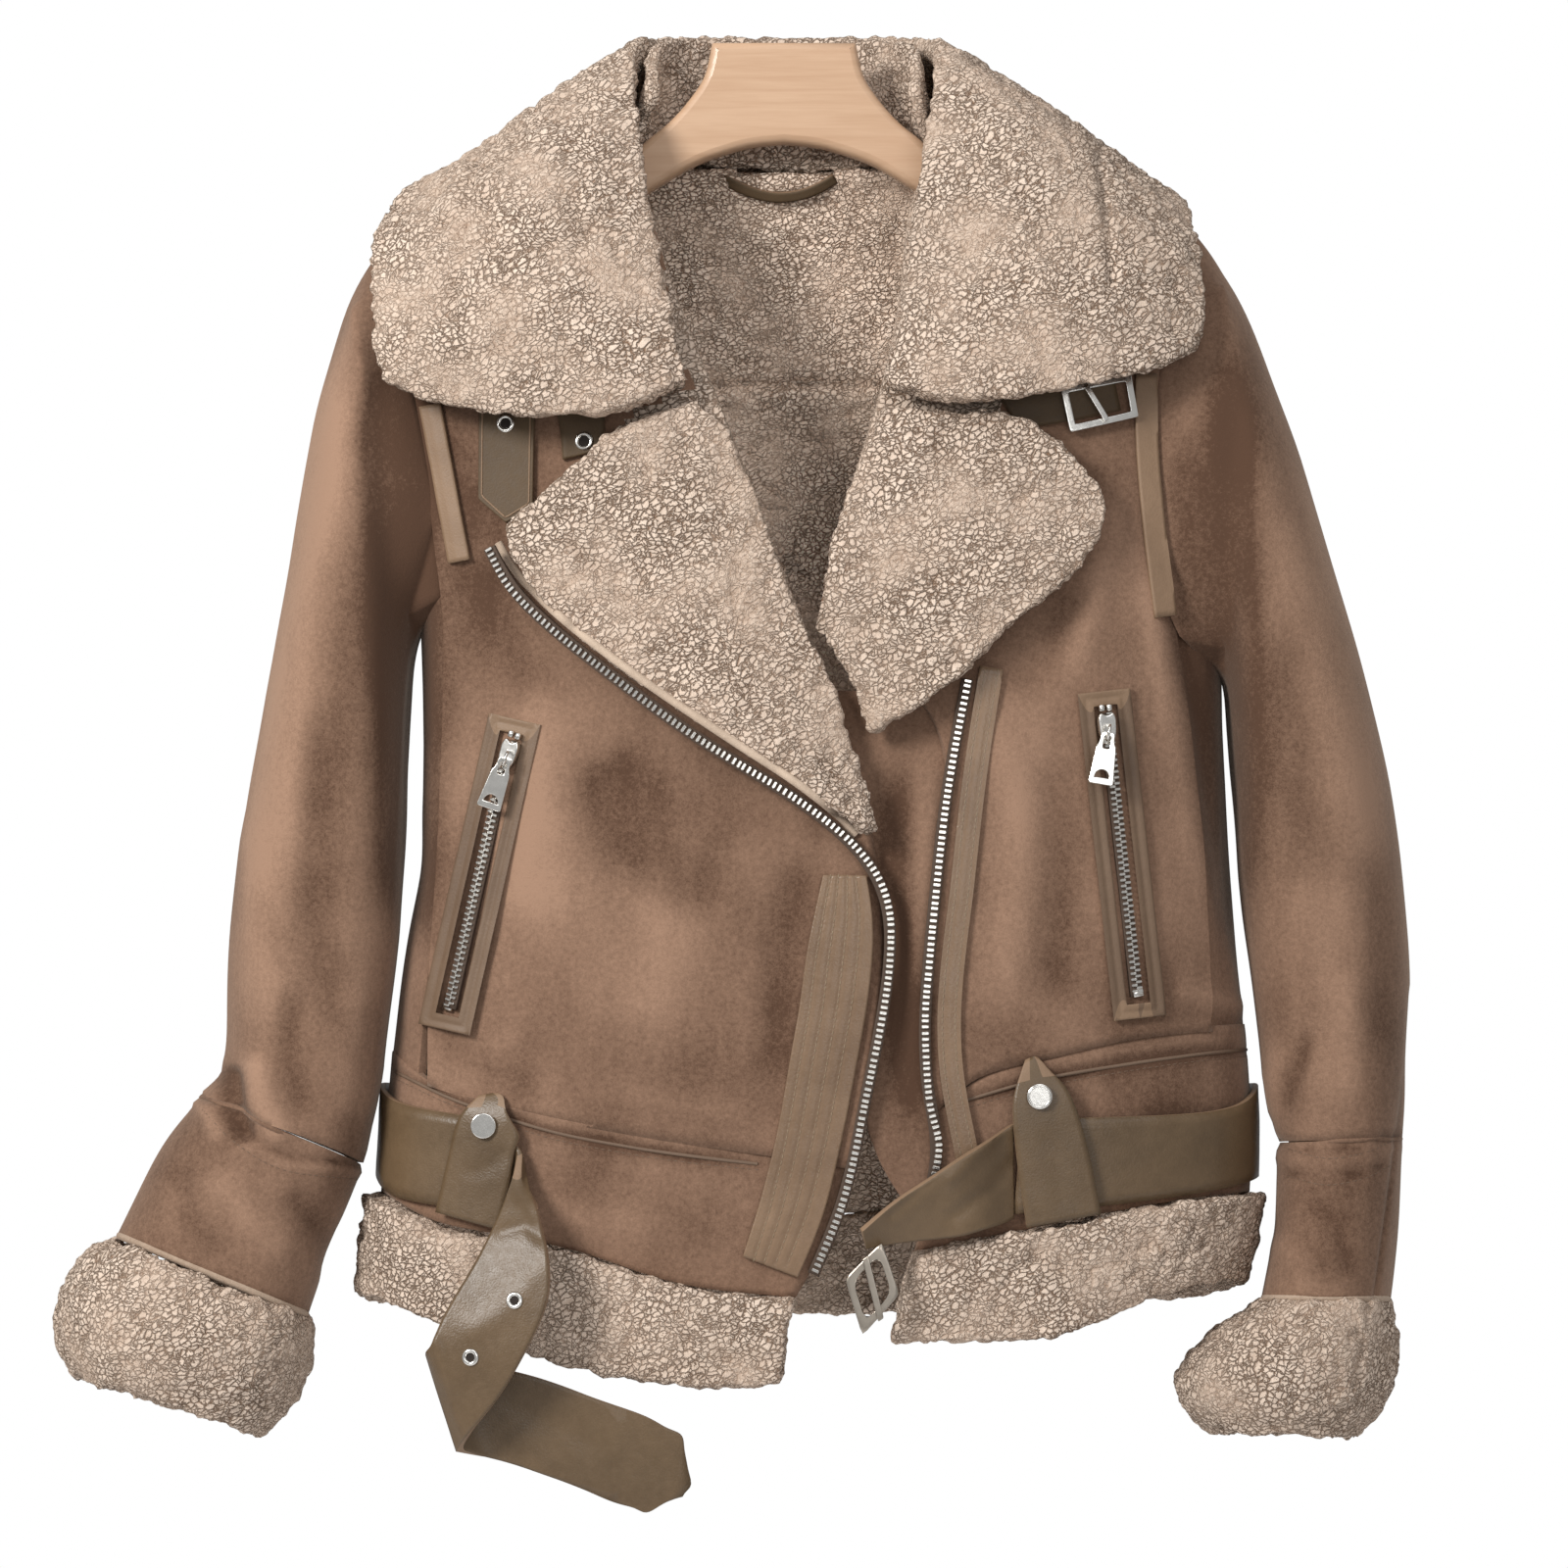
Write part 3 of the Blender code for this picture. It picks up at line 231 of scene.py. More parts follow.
def make_suede(name, dark, light):
    finish = Finish(name)
    clouds = finish.place.noise(7.0, 3.0, 0.55, 0.4)
    strokes = (finish.place * (1.0, 1.0, 0.3)).noise(34.0, 3.0, 0.6)
    nap = finish.place.noise(1500.0, 2.0, 0.7)
    flecks = finish.place.noise(420.0, 3.0, 0.7)
    tone = clouds * 1.05 + strokes * 0.75 + nap * 0.6 + flecks * 0.8 - 1.10
    # The fold layer carries painted shade for hollows, creases and shaded sides, and painted light for
    # ridges and lit sides.
    tone = (tone + (finish.layer("fold") - 0.5) * 0.95).clamped()
    finish["Base Color"] = tone.between(dark, light)
    finish["Roughness"] = 0.92
    finish["Sheen Weight"] = 0.28
    finish["Sheen Roughness"] = 0.45
    finish["Sheen Tint"] = (0.85, 0.70, 0.58, 1.0)
    finish["Specular IOR Level"] = 0.12
    finish["Normal"] = (nap * 0.6 + flecks * 0.8 + strokes * 0.8).bump(0.0004, 0.8)
    return finish.material


suede = make_suede("suede", SUEDE_DARK, SUEDE_LIGHT)
pale_suede = make_suede("pale_suede", (0.30, 0.21, 0.15, 1.0), (0.56, 0.44, 0.34, 1.0))
print("suede nodes:", len(suede.node_tree.nodes))

# %% [markdown]
# ## Curly fur
# The pile is clipped, and curls into small nubs with cracks between them. The larger nubs
# are real shape, so the mesh carries a layer called pile that says how high each point stands.
# The shader adds curls finer than the mesh can hold as bump, and paints colour by height:
# painted shade in the cracks and low places, painted light on the paler tops of the curls.

# %% Fur
# The crack colour is painted shade for the low places between curls; the tip colour is painted light
# for their tops.
FUR_CRACK_SHADE = (0.205, 0.104, 0.052, 1.0)
FUR_BODY = (0.56, 0.425, 0.330, 1.0)
FUR_LIT_TIP = (0.83, 0.680, 0.560, 1.0)
MATTED = 0.58


def make_fur(name, lighter=1.0, per_metre=330.0):
    finish = Finish(name)
    pile = finish.layer("pile")
    wander = finish.place + finish.place.noise(300.0, 3.0, 0.6) * 0.0050
    wander = wander + finish.place.noise(60.0, 2.0) * 0.012
    edge = (wander * (0.80, 1.0, 1.12)).cells(per_metre, "DISTANCE_TO_EDGE")
    hair = finish.place.noise(1300.0, 3.0, 0.7)
    tufts = finish.place.noise(520.0, 2.0, 0.6)
    clouds = finish.place.noise(9.0, 3.0)
    open_pile = (finish.place.noise(26.0, 3.0) * 3.6 - 1.2).clamped() * 0.75 + 0.25
    domes = (edge * 5.6).clamped()
    domes = domes * (1.5 - domes * 0.5)
    matted = (tufts - 0.5) * 1.3 + MATTED
    pads = domes * open_pile + matted * (1.0 - open_pile)
    height = (pads * (pile * 0.35 + 0.62) + (hair - 0.5) * 0.30 + 0.04).clamped()
    # Colour by height: painted shade darkens cracks and low places, painted light pales the tops.
    low = (height * 2.0).clamped().between(FUR_CRACK_SHADE, FUR_BODY)
    colour = ((height - 0.5) * 2.0).clamped().between(low, FUR_LIT_TIP)
    # lighter above 1 is painted light, for fur that the jacket shades.
    gain = (clouds * 0.30 + 0.85) * lighter
    grey = gain.node("ShaderNodeCombineColor", None, {0: gain, 1: gain, 2: gain})
    finish["Base Color"] = colour * grey
    finish["Roughness"] = 1.0
    finish["Sheen Weight"] = 0.10
    finish["Sheen Roughness"] = 0.6
    finish["Sheen Tint"] = (0.95, 0.78, 0.62, 1.0)
    finish["Specular IOR Level"] = 0.05
    finish["Normal"] = (pads * 0.9 + hair * 0.35).bump(0.0018, 1.0)
    return finish.material


fur = make_fur("fur")
# The fur inside the neck is the same fur painted 1.5 times lighter: painted light where the jacket
# shades it.
inner_fur = make_fur("inner_fur", 1.5, 360.0)
print("fur nodes:", len(fur.node_tree.nodes))

# %% [markdown]
# ## Leather, metal, thread and wood
# The straps are smooth olive leather with a soft sheen, a pebbled grain of about a millimetre,
# and paler rubbed places. The zips and buckles are bright nickel, the hanger pale wood whose
# grain runs from arm to arm.

# %% Leather
LEATHER_DARK = (0.052, 0.032, 0.016, 1.0)
LEATHER_LIGHT = (0.175, 0.114, 0.062, 1.0)


def make_leather(name, dark, light, rough):
    finish = Finish(name)
    clouds = finish.place.noise(14.0, 4.0, 0.6, 0.3)
    pebble = finish.place.cells(1100.0, "SMOOTH_F1")
    creases = finish.place.noise(240.0, 4.0, 0.65, 0.6)
    tone = (clouds * 1.1 + creases * 0.35 - 0.22).clamped()
    finish["Base Color"] = tone.between(dark, light)
    finish["Roughness"] = (rough + (creases - 0.5) * 0.22).clamped()
    finish["Specular IOR Level"] = 0.42
    finish["Normal"] = (pebble * 0.5 + creases * 0.7).bump(0.00035, 0.6)
    return finish.material


leather = make_leather("leather", LEATHER_DARK, LEATHER_LIGHT, 0.38)
edge_leather = make_leather("edge_leather", (0.15, 0.090, 0.052, 1), (0.30, 0.195, 0.120, 1), 0.55)
placket_leather = make_leather("placket_leather", (0.110, 0.064, 0.036, 1),
                               (0.29, 0.190, 0.118, 1), 0.32)
strap_leather = make_leather("strap_leather", (0.046, 0.027, 0.012, 1),
                             (0.125, 0.078, 0.038, 1), 0.62)
welt_leather = make_leather("welt_leather", (0.095, 0.055, 0.032, 1), (0.20, 0.130, 0.082, 1), 0.55)

print("leather nodes:", len(leather.node_tree.nodes))

# %% Nickel, thread, tape and wood
def make_metal(name, colour, rough):
    finish = Finish(name)
    wear = finish.place.noise(320.0, 3.0, 0.6)
    finish["Base Color"] = colour
    finish["Metallic"] = 1.0
    finish["Roughness"] = (rough + (wear - 0.5) * 0.16).clamped()
    finish["Normal"] = wear.bump(0.00008, 0.4)
    return finish.material


def make_plain(name, dark, light, per_metre, rough):
    """A fine woven or spun finish between two colours."""
    finish = Finish(name)
    twist = finish.place.noise(per_metre, 2.0, 0.6)
    finish["Base Color"] = twist.between(dark, light)
    finish["Roughness"] = rough
    finish["Normal"] = twist.bump(0.0002, 0.6)
    return finish.material


def make_wood():
    finish = Finish("wood")
    rings = (finish.place * (1.2, 6.0, 22.0)).noise(9.0, 3.0, 0.55, 0.8)
    pores = (finish.place * (4.0, 60.0, 90.0)).noise(14.0, 3.0, 0.65)
    tone = (rings * 0.85 + pores * 0.35 - 0.12).clamped()
    finish["Base Color"] = tone.between((0.43, 0.25, 0.142, 1), (0.63, 0.43, 0.285, 1))
    finish["Roughness"] = (0.38 + pores * 0.12).clamped()
    finish["Coat Weight"] = 0.15
    finish["Normal"] = (pores * 0.6 + rings * 0.4).bump(0.0002, 0.35)
    return finish.material


nickel = make_metal("nickel", (0.80, 0.78, 0.74, 1.0), 0.22)
antique = make_metal("antique", (0.44, 0.39, 0.33, 1.0), 0.34)
# The dark fill of the eyelets is painted shade.
dark_hole = make_plain("dark_hole", (0.012, 0.009, 0.007, 1), (0.03, 0.02, 0.015, 1), 900.0, 0.9)
thread = make_plain("thread", (0.10, 0.062, 0.040, 1), (0.20, 0.13, 0.085, 1), 2400.0, 0.7)
pale_thread = make_plain("pale_thread", (0.20, 0.145, 0.09, 1), (0.36, 0.27, 0.18, 1), 2400.0, 0.7)
tape = make_plain("tape", (0.045, 0.028, 0.019, 1), (0.10, 0.065, 0.045, 1), 1600.0, 0.85)
wood = make_wood()
print("finishes:", len(bpy.data.materials))

# %% [markdown]
# ## Scattered cells
# Fur curls, and so do the clumps that they gather in. Both come from one idea: scatter centres at
# random, one to a cell, and ask each point how far its nearest centre is. Blender has this as a
# texture, but worked out with numpy it can also move the mesh and be stored on it. The random
# numbers come from the cell's own place, so every run gives the same fur.

# %% Cells and their nearest centres
def dice(cell, seed):
    """A number from 0 to 1 for each cell, the same in every run."""
    mixed = (cell[..., 0] * 73856093) ^ (cell[..., 1] * 19349663) ^ (cell[..., 2] * 83492791)
    mixed = (mixed ^ (seed * 2654435761)) & 0xFFFFFFFF
    mixed = ((mixed ^ (mixed >> 15)) * 2246822519) & 0xFFFFFFFF
    mixed = ((mixed ^ (mixed >> 13)) * 3266489917) & 0xFFFFFFFF
    return ((mixed ^ (mixed >> 16)) & 0xFFFF) / 65535.0


def nearest_cells(points, size, seed):
    """Distance to the nearest and the next centre in cell sizes, and the nearest one's number."""
    spot = points / size
    base = np.floor(spot).astype(np.int64)
    first = np.full(len(spot), 9.0)
    second = np.full(len(spot), 9.0)
    number = np.zeros(len(spot))
    for step in itertools.product((-1, 0, 1), repeat=3):
        cell = base + np.array(step)
        centre = cell + np.column_stack([dice(cell, seed + k) for k in range(3)])
        away = np.linalg.norm(spot - centre, axis=1)
        second = np.minimum(second, np.maximum(first, away))
        closer = away < first
        number[closer] = dice(cell[closer], seed + 7)
        first = np.minimum(first, away)
    return first, second, number


def eased(share):
    """A share from 0 to 1 that starts and stops gently."""
    return share * share * (3 - 2 * share)


def drift(points, size, seed):
    """Smooth random numbers from -1 to 1, for slow changes over a piece."""
    spot = points / size
    base = np.floor(spot).astype(np.int64)
    share = eased(spot - base)
    total = np.zeros(len(spot))
    for step in itertools.product((0, 1), repeat=3):
        near = np.where(np.array(step) == 1, share, 1 - share).prod(axis=1)
        total += near * dice(base + np.array(step), seed)
    return total * 2 - 1


print("cells are scattered the same way in every run")

# %% [markdown]
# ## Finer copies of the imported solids
# Each cloth solid in the part is a coarse wall. A copy of it is joined back into four-sided faces,
# and a subdivision surface rounds it while the rims stay crisp, because their edges carry a
# crease. Fur needs an even mesh instead of a fitted one, so fur pieces are remeshed on a fine
# grid of cubes after that.

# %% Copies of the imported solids
CORNER = math.radians(48)
WELD = 0.00001
RIM = 0.0033
SKINS, PIECE_OF = {}, {}


def new_object(name, mesh):
    made = bpy.data.objects.new(name, mesh)
    bpy.context.scene.collection.objects.link(made)
    return made


def settled(thing):
    """The mesh of an object with its modifiers worked in. The object itself goes."""
    graph = bpy.context.evaluated_depsgraph_get()
    mesh = bpy.data.meshes.new_from_object(thing.evaluated_get(graph))
    old = thing.data
    bpy.data.objects.remove(thing)
    if old.users == 0 and isinstance(old, bpy.types.Mesh):
        bpy.data.meshes.remove(old)
    return mesh


def welded(node):
    """The points and faces of a node's mesh, with its doubled points joined."""
    work = bmesh.new()
    work.from_mesh(frame["nodes"][node].data)
    bmesh.ops.remove_doubles(work, verts=work.verts, dist=WELD)
    return work


def is_crisp(edge):
    return len(edge.link_faces) == 2 and edge.calc_face_angle() > CORNER


def finer(node, levels, cube=0.0, crease=1.0):
    """A smooth copy of a node's mesh, remeshed on cubes of a size if one is given.

    Faces with a crisp edge on two sides are the rims of a wall, and get material 1."""
    work = welded(node)
    bmesh.ops.join_triangles(work, faces=work.faces, angle_face_threshold=CORNER,
                             angle_shape_threshold=math.pi)
    layer = work.edges.layers.float.new("crease_edge")
    for edge in work.edges:
        if is_crisp(edge):
            edge[layer] = crease
    mesh = bpy.data.meshes.new(node + "_copy")
    rims = []
    for face in work.faces:
        crisp = sum(edge[layer] > 0 for edge in face.edges)
        narrow = min(edge.calc_length() for edge in face.edges) < RIM
        rims.append(1 if crisp >= 2 and narrow else 0)
    work.to_mesh(mesh)
    work.free()
    mesh.materials.clear()
    for finish in (leather, edge_leather):
        mesh.materials.append(finish)
    mesh.polygons.foreach_set("material_index", rims)
    thing = new_object(node + "_copy", mesh)
    smooth = thing.modifiers.new("smooth", "SUBSURF")
    smooth.levels = smooth.render_levels = levels
    if cube:
        remesh = thing.modifiers.new("remesh", "REMESH")
        remesh.mode = "VOXEL"
        remesh.voxel_size = cube
    mesh = settled(thing)
    for name in ("crease_edge", "sharp_edge", "sharp_face"):
        if name in mesh.attributes:
            mesh.attributes.remove(mesh.attributes[name])
    return mesh


print("copies of solids can be made")

# %% Points and layers of a mesh
def vectors_in(items, word):
    """A vector of each point or face, such as its place or its normal, in one array."""
    found = np.zeros(len(items) * 3)
    items.foreach_get(word, found)
    return found.reshape(-1, 3)


def points_in(mesh):
    return vectors_in(mesh.vertices, "co")


def normals_in(mesh):
    return vectors_in(mesh.vertices, "normal")


def move_points(mesh, points):
    mesh.vertices.foreach_set("co", points.ravel())
    mesh.update()


def store(mesh, name, numbers):
    layer = mesh.attributes.new(name, "FLOAT", "POINT")
    layer.data.foreach_set("value", np.asarray(numbers, dtype=np.float32))


print("meshes can be read and moved")

# %% Pieces, and the places that rays find on them
def skin_of(mesh):
    """A search tree that tells where a ray meets a mesh."""
    return BVHTree.FromPolygons([v.co for v in mesh.vertices], [p.vertices for p in mesh.polygons])


def add_piece(name, mesh, finishes, slot, stands_for=(), body="jacket", smooth=True):
    """Put a mesh in the scene as a piece of the jacket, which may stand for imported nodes."""
    made = new_object(name, mesh)
    mesh.materials.clear()
    for finish in finishes if isinstance(finishes, (list, tuple)) else [finishes]:
        mesh.materials.append(finish)
    mesh.polygons.foreach_set("use_smooth", [smooth] * len(mesh.polygons))
    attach(made, body)
    if stands_for:
        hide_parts(*stands_for)
        PIECE_OF.update({node: name for node in stands_for})
    SKINS[name] = skin_of(mesh)
    return made


def touch(pixel, names):
    """Where the ray through a pixel first meets one of the named pieces, and the normal there."""
    ray = (point_at(pixel, 0.0) - EYE).normalized()
    best = None
    for name in names:
        if name not in SKINS:
            SKINS[name] = skin_of(frame["nodes"][name].data)
        spot, normal, _, away = SKINS[name].ray_cast(EYE, ray)
        if spot is not None and (best is None or away < best[2]):
            best = (spot, normal, away)
    if best is None:
        return None
    normal = best[1] if best[1].dot(ray) < 0 else -best[1]
    return best[0], normal


print("pieces can be added and found")

# %% [markdown]
# ## Creases drawn one by one
# A cloth simulation would find its own creases, not the ones this jacket has. So each crease is a
# line of pixels with a width and a height: soft wide ones for the drape, narrow ones for seams.
# A point moves out or in by how near it lies to each line, both faces of the cloth together, so
# that the wall keeps its thickness. The back has its own lines, as if seen through the front.

# %% Lines that raise or sink the cloth
WIDE_CREASE = 6


def near_line(pixels, line):
    """Each pixel's distance from a line, and its share of the way along it."""
    line = np.array(line, dtype=float)
    lengths = np.linalg.norm(np.diff(line, axis=0), axis=1)
    run = np.concatenate([[0.0], np.cumsum(lengths)])
    best = np.full(len(pixels), 1e9)
    where = np.zeros(len(pixels))
    for k, length in enumerate(lengths):
        step = (line[k + 1] - line[k]) / length
        share = np.clip((pixels - line[k]) @ step, 0.0, length)
        away = np.linalg.norm(pixels - line[k] - share[:, None] * step, axis=1)
        closer = away < best
        best[closer] = away[closer]
        where[closer] = (run[k] + share[closer]) / run[-1]
    return best, where


def relief(pixels, rows):
    """How far out each pixel's cloth stands, in millimetres, from rows of line, width, rise.

    Creases fade out toward their ends, apart from the narrow ones, which are seams."""
    total = np.zeros(len(pixels))
    for line, width, rise in rows:
        away, share = near_line(pixels, line)
        fade = 1.0
        if width > WIDE_CREASE:
            fade = eased(np.clip(np.minimum(share, 1 - share) * 5.0 + 0.06, 0.0, 1.0))
        total += rise * np.exp(-(away / width) ** 2) * fade
    return total


BODY_MIDDLE, BODY_HALF_WIDTH, BODY_HALF_DEPTH = 0.012, 0.21, 0.07


def level_direction(across, deep):
    """Level directions of length 1."""
    out = np.column_stack([across, deep, 0 * across])
    return out / (np.linalg.norm(out, axis=1, keepdims=True) + 1e-9)


def away_from_body(points):
    """The direction out of the body at each point, if the body is an oval."""
    return level_direction((points[:, 0] - BODY_MIDDLE) / BODY_HALF_WIDTH ** 2,
                          points[:, 1] / BODY_HALF_DEPTH ** 2)


# Middle lines of the arms, in metres
ARM_MIDDLE_Y = -0.006
ARM = {
    # z, x
    "right": [(-0.75, -0.328), (-0.702, -0.320), (-0.647, -0.300), (-0.618, -0.287),
              (-0.570, -0.265), (-0.452, -0.250), (-0.348, -0.235), (-0.221, -0.215),
              (-0.10, -0.203)],
    "left": [(-0.75, 0.258), (-0.731, 0.263), (-0.659, 0.285), (-0.576, 0.295), (-0.440, 0.287),
             (-0.339, 0.266), (-0.226, 0.234), (-0.10, 0.212)],
}


def away_from_arm(side):
    table = np.array(ARM[side])

    def direction(points):
        middle = np.interp(points[:, 2], table[:, 0], table[:, 1])
        return level_direction(points[:, 0] - middle, points[:, 1] - ARM_MIDDLE_Y)

    return direction


print("creases can be drawn")

# %% [markdown]
# ## The suede pieces
# Fronts, back, side panels, waistband and sleeves hang from the hanger, so their creases run
# mostly down. The photo shows a deep hollow beside each arm, soft hollows under the right lapel,
# a fold at the right elbow and a few short ones where the bands pull. The seams under the
# pockets and round the sleeves are narrow grooves with a raised edge below them.

# %% Creases of the body, as lines of pixels, a width in pixels and a rise in millimetres
FRONT_FOLDS = [
    ([(404, 470), (402, 600), (412, 760), (408, 940)], 16, -4.5),
    ([(452, 480), (446, 600), (432, 760), (428, 900)], 15, 2.2),
    ([(606, 770), (640, 850), (700, 906), (745, 925)], 34, -4.2),
    ([(560, 690), (545, 820), (556, 960)], 42, 2.6),
    ([(700, 820), (690, 960), (640, 1060)], 40, 1.6),
    ([(820, 860), (800, 980), (790, 1110)], 22, -2.2),
    ([(494, 1082), (512, 1062), (530, 1048)], 8, 1.2),
    ([(430, 1000), (470, 1075), (560, 1120)], 14, -1.4),
    ([(600, 1100), (680, 1125), (770, 1135)], 12, 1.2),
    ([(480, 560), (500, 640), (560, 720)], 26, -1.8),
    ([(1196, 500), (1200, 625), (1232, 740), (1255, 900), (1262, 1010)], 13, -4.0),
    ([(1172, 560), (1178, 660), (1206, 790), (1226, 930)], 16, 2.0),
    ([(1100, 590), (1075, 660), (1040, 720)], 20, -2.0),
    ([(1130, 560), (1108, 640), (1090, 700)], 14, 1.8),
    ([(1010, 700), (1040, 820), (1030, 960), (1010, 1060)], 24, 2.0),
    ([(1070, 760), (1085, 900), (1075, 1040)], 22, -2.2),
    ([(1194, 1008), (1240, 1018), (1285, 1030)], 8, 1.4),
    ([(1200, 1030), (1240, 1042), (1290, 1044)], 7, -1.2),
    ([(1235, 466), (1216, 480), (1198, 482)], 7, -1.3),
    ([(920, 780), (905, 900), (925, 1040), (930, 1160)], 18, -2.6),
    ([(950, 760), (942, 900), (928, 1040)], 14, 1.6),
]
WAIST_RIDGES = [
    ([(400, 1088), (470, 1119), (560, 1148), (640, 1163), (700, 1172), (780, 1182)], 7, 1.3),
    ([(400, 1100), (470, 1131), (560, 1161), (640, 1177), (700, 1186), (780, 1194)], 2.6, -1.2),
    ([(975, 1118), (1060, 1095), (1150, 1079), (1230, 1068), (1286, 1063)], 7, 1.1),
    ([(975, 1133), (1060, 1110), (1150, 1093), (1230, 1082), (1286, 1077)], 2.6, -1.2),
    ([(420, 1180), (470, 1215), (560, 1240), (700, 1262)], 16, 1.2),
    ([(1100, 1170), (1190, 1150), (1280, 1140)], 14, -1.2),
]
BACK_FOLDS = [
    ([(430, 330), (420, 520), (430, 760), (425, 960)], 26, -3.6),
    ([(500, 300), (520, 520), (500, 800), (520, 1040)], 36, 2.4),
    ([(640, 260), (650, 480), (620, 760), (640, 1060)], 44, -2.6),
    ([(790, 260), (800, 500), (820, 800), (790, 1080)], 50, 2.8),
    ([(960, 260), (950, 520), (975, 800), (950, 1060)], 42, -2.4),
    ([(1100, 320), (1085, 560), (1110, 820), (1095, 1050)], 34, 2.2),
    ([(1190, 360), (1195, 560), (1200, 780), (1210, 980)], 26, -3.4),
    ([(560, 980), (700, 1030), (860, 1040), (1010, 1010)], 22, 1.8),
]

print("creases of the body:", len(FRONT_FOLDS) + len(WAIST_RIDGES) + len(BACK_FOLDS))

# %% Painted shade and painted light on the suede, in hollows, along seams and on sides turned from or toward the light, as lines of pixels, a width in pixels and a change of tone
PAINTED_SHADE_AND_LIGHT = [
    ([(406, 340), (410, 560), (416, 760), (402, 980)], 34, -0.85),
    ([(436, 430), (432, 600), (430, 800), (426, 990)], 16, -0.40),
    ([(340, 330), (296, 560), (276, 800), (282, 980)], 36, 0.30),
    ([(352, 1000), (340, 1060), (360, 1130), (350, 1240)], 26, -0.34),
    ([(232, 1086), (240, 1130), (256, 1168)], 10, -0.30),
    ([(160, 1190), (180, 1230), (240, 1300)], 22, 0.10),
    ([(1356, 1160), (1350, 1240), (1350, 1320)], 50, -0.30),
    ([(560, 1190), (650, 1230), (740, 1270)], 40, -0.12),
    ([(610, 760), (670, 820), (745, 880)], 36, -0.40),
    ([(500, 640), (520, 800), (560, 1000)], 50, 0.16),
    ([(690, 900), (660, 1020), (640, 1120)], 44, 0.10),
    ([(905, 760), (918, 900), (925, 1060), (925, 1170)], 20, -0.34),
    ([(1010, 640), (1050, 700), (1060, 860)], 40, 0.14),
    ([(1216, 400), (1226, 560), (1244, 740), (1256, 960)], 20, -0.60),
    ([(1250, 330), (1266, 520), (1284, 760), (1290, 980)], 22, -0.55),
    ([(1340, 470), (1388, 700), (1410, 900)], 26, 0.12),
    ([(404, 1100), (470, 1131), (560, 1160), (640, 1176), (770, 1194)], 9, -0.42),
    ([(980, 1132), (1080, 1104), (1180, 1088), (1282, 1076)], 9, -0.42),
    ([(460, 430), (474, 500), (490, 560)], 22, -0.24),
    ([(1020, 560), (1080, 520), (1160, 470)], 26, -0.20),
]

print("strokes of nap:", len(PAINTED_SHADE_AND_LIGHT))

# %% Cut and crease the body
CLOTH_LEVELS = 3
BACK_LEVELS = 2
LINING = -0.3
CHANGE_OVER = 0.03
SLACK, SLACK_SIZE = 0.5, 0.035


def split_faces(mesh, direction):
    """Material 0 outside and on the rims, 1 on the faces that look into the garment."""
    out = direction(vectors_in(mesh.polygons, "center"))
    inside = (vectors_in(mesh.polygons, "normal") * out).sum(axis=1) < LINING
    return inside.astype(int)


def rise_of(points, pixels, front, back):
    """How far the creases move each point out, and how much it belongs to the front."""
    ahead = np.clip(0.5 - points[:, 1] / CHANGE_OVER, 0.0, 1.0)
    return relief(pixels, front) * ahead + relief(pixels, back) * (1 - ahead), ahead


def drape(node, direction, front, back, levels=CLOTH_LEVELS, lean=None):
    """A cloth piece from its node, with its creases, and how they shade it."""
    mesh = finer(node, levels)
    points = points_in(mesh)
    pixels = pixels_of(points)
    if lean is not None:
        points = lean(points)
    rise, ahead = rise_of(points, pixels, front, back)
    rise += SLACK * drift(points, SLACK_SIZE, 3)
    # The fold layer is painted shade and light: hollows darker and ridges paler by how far they sink
    # or rise, plus the listed lines of painted shade and light on the faces seen from the front.
    seen = np.clip(1.6 - points[:, 1] / CHANGE_OVER, 0.0, 1.0)
    tone = 0.5 + rise * (0.08 + 0.07 * ahead) + relief(pixels, PAINTED_SHADE_AND_LIGHT) * seen
    store(mesh, "fold", np.clip(tone, 0.0, 1.0))
    move_points(mesh, points + direction(points) * rise[:, None] * MM)
    return mesh


PLAIN_PILE = 0.6
NECK_EDGES = [
    # line in pixels, half width
    ([(690, 150), (692, 240), (700, 340), (750, 436), (790, 530), (830, 636), (850, 700)], 17),
    ([(940, 130), (930, 200), (908, 380), (892, 420), (870, 560), (850, 700)], 17),
    ([(662, 440), (700, 424), (740, 410)], 26),
    ([(886, 392), (930, 404), (1000, 414)], 22),
]


def finish_cloth(node, mesh, direction):
    sides = split_faces(mesh, direction)
    if node in ("right_front", "left_front"):
        pixels = pixels_of(vectors_in(mesh.polygons, "center"))
        for line, half in NECK_EDGES:
            sides[near_line(pixels, line)[0] < half] = 1
    mesh.set_sharp_from_angle(angle=CORNER)
    add_piece("dressed_" + node, mesh, (suede, fur), "suede", (node,))
    mesh.polygons.foreach_set("material_index", sides)
    store(mesh, "pile", np.full(len(mesh.vertices), PLAIN_PILE))


BODY = ["right_front", "left_front", "back_panel", "right_side_panel", "left_side_panel",
        "right_waistband", "left_waistband", "back_waistband", "wind_flap"]
TUCK_UP, TUCK_IN = 4.0, 1.6
SIDE_RISE, SIDE_REACH, SIDE_TOP = 16.0, 3.4, 0.05


def tuck_under(points):
    """A waistband whose upper edge runs up behind the panels."""
    low, high = points[:, 2].min(), points[:, 2].max()
    share = (points[:, 2:] - low) / (high - low)
    return points + share * (np.array([0, 0, TUCK_UP]) - away_from_body(points) * TUCK_IN) * MM


